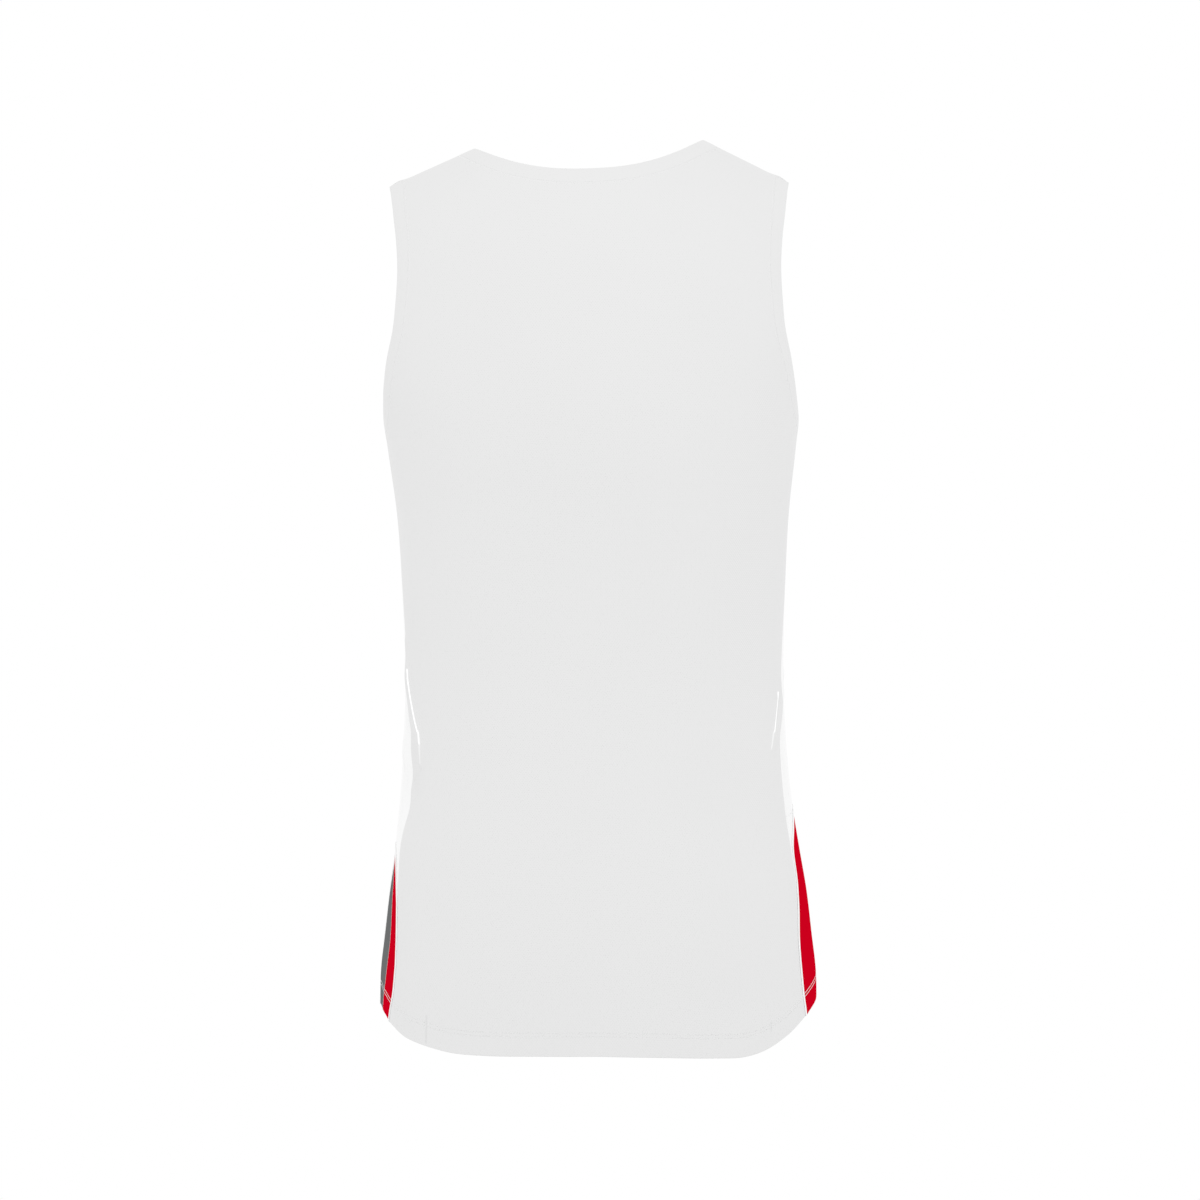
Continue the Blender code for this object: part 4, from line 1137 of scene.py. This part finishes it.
def mesh_knit(name, colour, hole_share, sheen, place):
    """Pinhole mesh knit: staggered pinholes between fine ribs, a little uneven in tone, with
    darker hem joins and painted highlights along its creases.
    """
    sizes = bpy.context.scene.jersey_knit
    finish = Finish(name, 0.9, sheen, 0.0)
    along, up = finish.flat_place()
    row = up / sizes.pitch_up
    stagger = (row.floor() * 0.5).fraction()
    cell = ((along / sizes.pitch_across + stagger).fraction() - 0.5) * sizes.pitch_across
    level = (row.fraction() - 0.5) * sizes.pitch_up
    apart = (cell * cell + level * level * 0.7) ** 0.5
    hole = 1.0 - apart.smooth_between(sizes.pinhole * 0.35, sizes.pinhole)
    rib = (along * (2 * math.pi / sizes.rib)).sine() * 0.5 + 0.5
    tone = finish.noise(9.0, 3.0)
    shade = hole * hole_share + (rib * 0.02) + (tone - 0.5) * 0.05
    colours = finish.between(shade, solid_colour(colour), solid_colour(colour, 0.55))
    # Darker hem joins, and painted highlights along the creases' edges.
    colours = with_joins_and_painted_highlights(finish, colours, along, up, colour, place)
    return finish.wear(colours, rib * 0.12 - hole, 0.0001, 0.4)


def with_joins_and_painted_highlights(finish, colours, along, up, colour, place):
    """The knit's colour with one panel's darker hem joins and its painted highlights along the
    creases.
    """
    start = -MID_BACK if place == "front" else MID_BACK
    for mark in JOINS_AND_PAINTED_HIGHLIGHTS.get(place, ()):
        middle = start if mark.side > 0 else math.pi - start
        lean = np.radians([mark.lean_from, mark.lean_to])
        climb = np.array([mark.height_from, mark.height_to]) - BLADE_HEIGHT
        high, low = way_round(bearing_of(mark.side, lean), climb, middle)
        slope = float((high - low) / (climb[0] - climb[1]))
        apart = (along - (up - float(climb[1])) * slope - float(low)).absolute()
        near = 1.0 - apart.smooth_between(MARK_CORE, MARK_EDGE)
        ends = (up.smooth_between(climb[1], climb[1] + MARK_END)
                * (1.0 - up.smooth_between(climb[0] - MARK_END, climb[0])))
        # A tone above 1 is a painted highlight along a crease; a tone below 1 is a darker hem
        # join.
        tone = solid_colour(colour, mark.tone)
        colours = finish.between(near * ends * mark.strength, colours, tone)
    return colours


def rib_tape(name, colour):
    """Smooth fine knit of the bands and the piping, with close ribs across."""
    sizes = bpy.context.scene.jersey_knit
    finish = Finish(name, 0.9, 0.06, 0.0)
    along, across = finish.flat_place()
    rib = (along * (2 * math.pi / sizes.band_rib)).sine() * 0.5 + 0.5
    course = (across * (2 * math.pi / (sizes.band_rib * 0.8))).sine() * 0.5 + 0.5
    tone = finish.noise(14.0, 2.0)
    shade = rib * 0.03 + course * 0.01 + (tone - 0.5) * 0.03
    colours = finish.between(shade, solid_colour(colour), solid_colour(colour, 0.6))
    return finish.wear(colours, rib + course * 0.4, 0.00008, 0.4)


def sewing_thread(name, colour):
    """Twisted polyester thread."""
    finish = Finish(name, 0.55, 0.1)
    place = finish.node("ShaderNodeTexCoord", None, None, "Object")
    twist = finish.node("ShaderNodeTexWave", {"wave_type": "BANDS", "bands_direction": "DIAGONAL"},
                        {"Vector": place, "Scale": 900.0, "Distortion": 0.0})
    colours = finish.between(twist * 0.2, solid_colour(colour), solid_colour(colour, 0.75))
    return finish.wear(colours, twist, 0.00005, 0.4)


def pale_floor(name, colour):
    """Matt studio floor with a faint unevenness."""
    finish = Finish(name, 0.9)
    tone = finish.noise(1.5, 4.0)
    colours = finish.between(tone * 0.06, solid_colour(colour), solid_colour(colour, 0.85))
    return finish.wear(colours, tone, 0.0005, 0.1)


def finish_named(name):
    """One of the jersey's finishes, made when it is first asked for."""
    found = bpy.data.materials.get(name)
    if found:
        return found
    colours = bpy.context.scene.jersey_colours
    makers = {
        "white_back_knit": lambda: mesh_knit(name, colours.white, 0.07, 0.06, "back"),
        "white_front_knit": lambda: mesh_knit(name, colours.white, 0.07, 0.06, "front"),
        # The side panels' knit is painted lighter, for the light that falls on the sides.
        "white_side_knit_painted_lighter": lambda: mesh_knit(name, colours.side, 0.05, 0.06, "side"),
        "red_mesh_knit": lambda: mesh_knit(name, colours.red, 0.09, 0.0, "insert"),
        "grey_mesh_knit": lambda: mesh_knit(name, colours.grey, 0.09, 0.0, "insert"),
        "white_band_knit": lambda: rib_tape(name, colours.band),
        "white_piping_tape": lambda: rib_tape(name, colours.tape),
        "white_thread": lambda: sewing_thread(name, colours.thread),
        "pale_studio_floor": lambda: pale_floor(name, colours.floor),
    }
    return makers[name]()


# ---- stitches
def stitched(name, lines):
    """Rows of stitches along closed or open lines of points with their normals."""
    sizes = bpy.context.scene.jersey_sewing
    points, normals, links = [], [], []
    for line, ways, closed in lines:
        base = len(points)
        points.extend(line.tolist())
        normals.extend(ways.tolist())
        links += [(base + k, base + k + 1) for k in range(len(line) - 1)]
        if closed:
            links.append((base + len(line) - 1, base))
    mesh = bpy.data.meshes.new(name)
    mesh.from_pydata(points, links, [])
    away = mesh.attributes.new("away", "FLOAT_VECTOR", "POINT")
    away.data.foreach_set("vector", np.array(normals, dtype=np.float32).ravel())
    carrier = placed(name + "_lines", mesh)
    modifier = carrier.modifiers.new("stitches", "NODES")
    tree = stitch_tree(finish_named("white_thread"))
    modifier.node_group = tree
    wanted = {"Pitch": sizes.pitch, "Length": sizes.length, "Thickness": sizes.thickness}
    for item in tree.interface.items_tree:
        if item.name in wanted:
            modifier[item.identifier] = wanted[item.name]
    bpy.context.view_layer.update()
    evaluated = carrier.evaluated_get(bpy.context.evaluated_depsgraph_get())
    made = bpy.data.meshes.new_from_object(evaluated)
    bpy.data.objects.remove(carrier, do_unlink=True)
    made.name = name
    piece = placed(name, made)
    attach(piece, "root")


def stitch_tree(thread):
    """Geometry nodes that lay one small oval stitch at every pitch of a line."""
    found = bpy.data.node_groups.get("stitch_row")
    if found:
        return found
    tree = bpy.data.node_groups.new("stitch_row", "GeometryNodeTree")
    tree.interface.new_socket("Line", in_out="INPUT", socket_type="NodeSocketGeometry")
    for label in ("Pitch", "Length", "Thickness"):
        tree.interface.new_socket(label, in_out="INPUT", socket_type="NodeSocketFloat")
    tree.interface.new_socket("Stitches", in_out="OUTPUT", socket_type="NodeSocketGeometry")

    def node(kind, settings=None, values=None):
        return add_node(tree, kind, settings, values)

    inputs = node("NodeGroupInput")
    curve = node("GeometryNodeMeshToCurve", None, {"Mesh": inputs.outputs["Line"]})
    spaced = node("GeometryNodeResampleCurve", {"mode": "LENGTH"},
                  {"Curve": curve.outputs["Curve"], "Length": inputs.outputs["Pitch"]})
    tangent = node("GeometryNodeInputTangent")
    away = node("GeometryNodeInputNamedAttribute", {"data_type": "FLOAT_VECTOR"},
                {"Name": "away"})
    along = node("FunctionNodeAlignRotationToVector", {"axis": "X"},
                 {"Vector": tangent.outputs["Tangent"]})
    upright = node("FunctionNodeAlignRotationToVector", {"axis": "Z", "pivot_axis": "X"},
                   {"Rotation": along.outputs["Rotation"],
                    "Vector": away.outputs["Attribute"]})
    oval = node("GeometryNodeMeshUVSphere", None, {"Segments": 6, "Rings": 4, "Radius": 0.5})
    flat = node("ShaderNodeMath", {"operation": "MULTIPLY"},
                {0: inputs.outputs["Thickness"], 1: STITCH_FLATNESS})
    size = node("ShaderNodeCombineXYZ", None, {"X": inputs.outputs["Length"],
                                               "Y": inputs.outputs["Thickness"],
                                               "Z": flat.outputs["Value"]})
    shaped = node("GeometryNodeTransform", None, {"Geometry": oval.outputs["Mesh"],
                                                  "Scale": size.outputs["Vector"]})
    laid = node("GeometryNodeInstanceOnPoints", None,
                {"Points": spaced.outputs["Curve"], "Instance": shaped.outputs["Geometry"],
                 "Rotation": upright.outputs["Rotation"]})
    real = node("GeometryNodeRealizeInstances", None, {"Geometry": laid.outputs["Instances"]})
    smooth = node("GeometryNodeSetShadeSmooth", None, {"Geometry": real.outputs["Geometry"]})
    painted = node("GeometryNodeSetMaterial", None,
                   {"Geometry": smooth.outputs["Geometry"], "Material": thread})
    outputs = node("NodeGroupOutput")
    tree.links.new(painted.outputs["Geometry"], outputs.inputs["Stitches"])
    return tree


def line_on_cloth(path, lift):
    """Points and normals of a path of bearings and climbs, a little above the cloth."""
    normals = outward(path)
    height = form_lift(path) + lift
    return points_of(path) + normals * height[:, None], normals


# ---- settings
def metres(name, default, description):
    """A length setting."""
    return FloatProperty(name=name, unit="LENGTH", default=default, description=description)


def tint(name, default, description):
    """A colour setting."""
    return FloatVectorProperty(name=name, subtype="COLOR", default=default,
                               description=description)


class JerseyKnit(PropertyGroup):
    """Sizes of the knit's own pattern."""

    pitch_across: metres("Pinhole spacing across", 0.0022,
        "Distance between pinholes in one course")
    pitch_up: metres("Pinhole spacing up", 0.0015,
        "Distance between courses of pinholes, which are staggered")
    pinhole: metres("Pinhole reach", 0.00062,
        "Distance from a pinhole's middle at which the knit is full again")
    rib: metres("Rib spacing", 0.0011, "Width of one wale of the mesh knit")
    band_rib: metres("Band rib spacing", 0.0009, "Width of one rib of the bands and the piping")


class JerseySewing(PropertyGroup):
    """Sizes of the stitches."""

    pitch: metres("Stitch spacing", 0.0028, "Distance from one stitch to the next")
    length: metres("Stitch length", 0.0042, "Length of thread that shows at each stitch")
    thickness: metres("Thread thickness", 0.0007, "Thickness of the sewing thread")
    topstitch_gap: metres("Topstitch gap", 0.0016,
        "Distance of the topstitching from the bands' seams")


class JerseyColours(PropertyGroup):
    """Colours of the cloth, the thread and the floor."""

    white: tint("White mesh", (0.808, 0.808, 0.808), "Colour of the body's mesh knit")
    # The side panels' white is lighter than the body's knit: painted light that stands in for the
    # light falling on the sides.
    side: tint("White sides", (0.95, 0.95, 0.95), "Colour of the side panels' closer knit")
    band: tint("White bands", (0.810, 0.810, 0.810),
        "Colour of the bands round the neck and the armholes")
    tape: tint("White tape", (0.97, 0.97, 0.97), "Colour of the piping round the inserts")
    red: tint("Red mesh", (0.606, 0.0003, 0.0125), "Colour of the back half of the hem inserts")
    grey: tint("Grey mesh", (0.156, 0.159, 0.159), "Colour of the front half of the hem inserts")
    thread: tint("Thread", (0.85, 0.85, 0.85), "Colour of the sewing thread")
    floor: tint("Floor", (0.88, 0.88, 0.88), "Colour of the studio floor")


class JerseyStudio(PropertyGroup):
    """Camera and lights."""

    camera_distance: metres("Camera distance", 4.0, "Distance of the camera behind the jersey")
    camera_shift: metres("Camera side step", -0.0056,
        "How far the camera stands to the wearer's left")
    camera_height: metres("Camera height", -0.3917, "Height of the camera, counted from the mount")
    lens: FloatProperty(
        name="Lens", default=139.53, description="Focal length in millimetres")
    roll: FloatProperty(
        name="Camera roll", subtype="ANGLE", default=math.radians(-0.6),
        description="Turn of the camera about its line of sight")
    sky: FloatProperty(
        name="Sky strength", default=1.0, description="Strength of the white surroundings")
    side_power: FloatProperty(
        name="Side light power", default=3.0,
        description="Power of the soft light at each side, in watts")
    shoulder_power: FloatProperty(
        name="Shoulder light power", default=2.0,
        description="Power of the soft light above and beyond the shoulders, in watts")
    key_power: FloatProperty(
        name="Key light power", default=1.1,
        description="Power of the soft light behind the camera, in watts")
    floor_drop: metres("Floor level", -1.35, "Height of the studio floor, counted from the mount")


# ---- the pieces
_edges = []


def shared_edges():
    """The jersey's edges, worked out once."""
    if not _edges:
        _edges.append(Edges())
    return _edges[0]


def as_bearings(side, grid):
    """A grid of leans as a grid of bearings."""
    turned = grid.copy()
    turned[..., 0] = bearing_of(side, grid[..., 0])
    return turned


def sheet_wall(name, grids):
    """Wall of one layer of knit, doubled at the hem, with folds and sewing."""
    sheet = welded(grids)
    points = points_of(sheet.path)
    folded = np.clip((above_hem(sheet.path) - SECOND_NEEDLE) / TURNED_UP, 0.0, 1.0)
    depth = DOUBLED + (WALL - DOUBLED) * folded
    lift = form_lift(sheet.path) + sewing_lift(sheet.path, points, sheet.rim)
    return cloth_wall(name, sheet, depth, lift, above_hem(sheet.path) < AT_HEM)


def band_wall(name, strips, proud, dome):
    """Wall of a doubled band or of the piping: a low dome across its width."""
    sheet = welded(strips)
    width = np.max(np.concatenate([flat[..., 1].ravel() for _, flat in strips]))
    across = np.clip(sheet.pattern[:, 1] / width, 0.0, 1.0) * 2 - 1
    lift = form_lift(sheet.path) + proud + dome * (1 - across ** 2)
    rounded = across < 1e-6 - 1
    return cloth_wall(name, sheet, np.full(len(lift), DOUBLED), lift, rounded)


Cut = namedtuple("Cut", "width length area")


class JERSEY_OT_body_panels(Operator):
    """Make the back and front panels"""

    bl_idname = "jersey.body_panels"
    bl_label = "Body panels"

    def execute(self, context):
        edges = shared_edges()
        for name, facing in (("back", 1), ("front", -1)):
            grids = []
            for side in (1, -1):
                start = bearing_of(side, facing * MID_BACK)
                for grid in panel_grids(edges, side, facing):
                    grid = as_bearings(side, grid)
                    grids.append((grid, cloth_pattern(grid, start)))
            piece = sheet_wall(f"{name}_panel_cloth", grids)
            worn(piece, f"white_{name}_knit", f"{name}_panel")
        return {"FINISHED"}


class JERSEY_OT_side_panels(Operator):
    """Make the two side panels"""

    bl_idname = "jersey.side_panels"
    bl_label = "Side panels"

    def execute(self, context):
        for side, side_name in SIDES:
            grids = []
            for grid in side_grids(shared_edges(), side):
                grid = as_bearings(side, grid)
                grids.append((grid, cloth_pattern(grid, bearing_of(side, 0.0))))
            piece = sheet_wall(f"side_panel_cloth_{side_name}", grids)
            worn(piece, "white_side_knit_painted_lighter", f"side_panel_{side_name}")
        return {"FINISHED"}


class JERSEY_OT_inserts(Operator):
    """Make the red and grey hem inserts and their piping"""

    bl_idname = "jersey.inserts"
    bl_label = "Hem inserts"

    def execute(self, context):
        for side, side_name in SIDES:
            outer, inner = piping_lines(shared_edges(), side)
            grid = as_bearings(side, band_grid(outer, inner))
            piece = band_wall(f"insert_piping_tape_{side_name}",
                              [(grid, strip_pattern(grid))], 0.0, PIPING_DOME)
            worn(piece, "white_piping_tape", f"insert_piping_{side_name}")
            for colour, facing in (("red", 1), ("grey", -1)):
                grid = as_bearings(side, insert_grid(inner, side, facing))
                pattern = cloth_pattern(grid, bearing_of(side, 0.0))
                piece = sheet_wall(f"insert_{colour}_cloth_{side_name}", [(grid, pattern)])
                worn(piece, f"{colour}_mesh_knit",
                     f"insert_{colour}_{side_name}")
        return {"FINISHED"}


class JERSEY_OT_bands(Operator):
    """Make the bands round the neck and the armholes"""

    bl_idname = "jersey.bands"
    bl_label = "Neck and armhole bands"

    def execute(self, context):
        edges = shared_edges()
        strips = []
        for side in (1, -1):
            grid = as_bearings(side, band_grid(edges.neck, edges.neck_line))
            strips.append((grid, strip_pattern(grid)))
        piece = band_wall("neck_band_knit", strips, BAND_PROUD, BAND_DOME)
        worn(piece, "white_band_knit", "neck_band")
        for side, side_name in SIDES:
            grid = as_bearings(side, band_grid(edges.armhole, edges.armhole_line))
            piece = band_wall(f"armhole_band_knit_{side_name}",
                              [(grid, strip_pattern(grid))], BAND_PROUD, BAND_DOME)
            worn(piece, "white_band_knit", f"armhole_band_{side_name}")
        return {"FINISHED"}


class JERSEY_OT_stitching(Operator):
    """Lay the rows of stitches at the hem, the neck and the armholes"""

    bl_idname = "jersey.stitching"
    bl_label = "Stitching"

    def execute(self, context):
        edges = shared_edges()
        gap = context.scene.jersey_sewing.topstitch_gap
        rows = []
        for needle in (FIRST_NEEDLE, SECOND_NEEDLE):
            stretches = []
            for side, leans in ((1, np.linspace(-90, 90, FINE_STEPS)),
                                (-1, np.linspace(90, -90, FINE_STEPS))):
                climb = hem_height_at[side](leans) + needle - BLADE_HEIGHT
                bearing = bearing_of(side, np.radians(leans))
                stretches.append(paired(bearing, climb)[:-1])
            rows.append((*line_on_cloth(np.concatenate(stretches), HEM_SINK), True))
        stitched("hem_stitches", rows)
        neck = beside(edges.neck_line, gap)
        halves = []
        for side in (1, -1):
            halves.append(line_on_cloth(as_bearings(side, neck)[::side], TOPSTITCH_SINK))
        around = [np.concatenate([halves[0][k], halves[1][k][1:-1]]) for k in range(2)]
        stitched("neck_stitches", [(around[0], around[1], True)])
        for side, side_name in SIDES:
            path = as_bearings(side, beside(edges.armhole_line, gap)[:-1])
            stitched(f"armhole_stitches_{side_name}",
                     [(*line_on_cloth(path, TOPSTITCH_SINK), True)])
            stitched(f"insert_stitches_{side_name}",
                     [(*line_on_cloth(insert_seam(side), INSERT_RISE), False)])
        return {"FINISHED"}


def insert_seam(side):
    """Path of the light sewing between the red and the grey of an insert, from the hem up."""
    _, inner = piping_lines(shared_edges(), side)
    path = insert_grid(inner, side, 1)[:-2, 0]
    return as_bearings(side, beside(path, INSERT_SEWING_GAP))


class JERSEY_OT_stage(Operator):
    """Set up the floor, the lights and the camera"""

    bl_idname = "jersey.stage"
    bl_label = "Stage"

    def execute(self, context):
        studio = context.scene.jersey_studio
        lay_floor(studio)
        white_surroundings(studio)
        middle = Vector((0.0, 0.0, studio.camera_height))
        for side in (1, -1):
            place = Vector((side * 1.0, -1.73, studio.camera_height))
            soft_light(f"side_light_{side:+d}", place, middle, (0.5, 2.0), studio.side_power)
        soft_light("shoulder_light", Vector((0.0, -1.6, 0.9)), Vector((0.0, 0.0, -0.05)),
                   (1.2, 0.3), studio.shoulder_power)
        soft_light("key_light", Vector((-0.12, 1.3, 0.45)), Vector((0.0, 0.0, -0.25)),
                   (0.8, 0.8), studio.key_power)
        place_camera(studio)
        context.scene.view_settings.view_transform = "Standard"
        return {"FINISHED"}


FLOOR_RINGS = (0.3, 0.7, 1.1, 1.5)
FLOOR_SPOKES = 96
SENSOR_WIDTH = 36.0          # in millimetres
FARTHEST = 50.0


def lay_floor(studio):
    """A round pale floor under the jersey."""
    mesh = bpy.data.meshes.new("studio_floor")
    points = [(0.0, 0.0, studio.floor_drop)]
    faces = []
    for ring, radius in enumerate(FLOOR_RINGS):
        for spoke in range(FLOOR_SPOKES):
            angle = 2 * math.pi * spoke / FLOOR_SPOKES
            points.append((radius * math.cos(angle), radius * math.sin(angle),
                           studio.floor_drop))
            after = (spoke + 1) % FLOOR_SPOKES
            if ring == 0:
                faces.append((0, 1 + spoke, 1 + after))
            else:
                low = 1 + (ring - 1) * FLOOR_SPOKES
                high = low + FLOOR_SPOKES
                faces.append((low + spoke, high + spoke, high + after, low + after))
    mesh.from_pydata(points, [], faces)
    floor = placed("studio_floor", mesh)
    mesh.materials.append(finish_named("pale_studio_floor"))


def white_surroundings(studio):
    """Plain white surroundings that light the cloth evenly from all round."""
    world = bpy.data.worlds.new("studio_surroundings")
    world.use_nodes = True
    background = world.node_tree.nodes["Background"]
    background.inputs["Color"].default_value = (1.0, 1.0, 1.0, 1.0)
    background.inputs["Strength"].default_value = studio.sky
    bpy.context.scene.world = world


def soft_light(name, place, target, size, power):
    """A rectangular soft light aimed at a target."""
    light = bpy.data.lights.new(name, "AREA")
    light.shape = "RECTANGLE"
    light.size, light.size_y = size
    light.energy = power
    lamp = placed(name, light)
    lamp.location = place
    lamp.rotation_euler = (target - place).to_track_quat("-Z", "Y").to_euler()


def place_camera(studio):
    """The camera, level behind the jersey and turned a little about its line of sight."""
    camera = bpy.data.cameras.new("studio_camera")
    camera.lens = studio.lens
    camera.sensor_width = SENSOR_WIDTH
    camera.clip_end = FARTHEST
    stand = placed("studio_camera", camera)
    aim = Euler((math.pi / 2, 0.0, math.pi)).to_matrix() @ Matrix.Rotation(studio.roll, 3, "Z")
    stand.matrix_world = (Matrix.Translation((studio.camera_shift, studio.camera_distance,
                                              studio.camera_height)) @ aim.to_4x4())
    bpy.context.scene.camera = stand


class JERSEY_PT_sidebar(Panel):
    """Lists the jersey's settings and makers"""

    bl_idname = "JERSEY_PT_sidebar"
    bl_label = "Basketball Jersey"
    bl_space_type = "VIEW_3D"
    bl_region_type = "UI"
    bl_category = "Jersey"

    def draw(self, context):
        layout = self.layout
        for maker in MAKERS:
            layout.operator(maker.bl_idname)
        for group_name, group in SETTINGS.items():
            box = layout.box()
            for field in group.__annotations__:
                box.prop(getattr(context.scene, group_name), field)


SETTINGS = {"jersey_knit": JerseyKnit, "jersey_sewing": JerseySewing,
            "jersey_colours": JerseyColours, "jersey_studio": JerseyStudio}
MAKERS = (JERSEY_OT_body_panels, JERSEY_OT_side_panels, JERSEY_OT_inserts, JERSEY_OT_bands,
          JERSEY_OT_stitching, JERSEY_OT_stage)


def register():
    for group_name, group in SETTINGS.items():
        bpy.utils.register_class(group)
        setattr(bpy.types.Scene, group_name, PointerProperty(type=group))
    for maker in (*MAKERS, JERSEY_PT_sidebar):
        bpy.utils.register_class(maker)


def unregister():
    for maker in (JERSEY_PT_sidebar, *reversed(MAKERS)):
        bpy.utils.unregister_class(maker)
    for group_name, group in reversed(list(SETTINGS.items())):
        delattr(bpy.types.Scene, group_name)
        bpy.utils.unregister_class(group)


def main():
    register()
    for maker in MAKERS:
        area, action = maker.bl_idname.split(".")
        getattr(getattr(bpy.ops, area), action)()


if __name__ == "__main__":
    main()
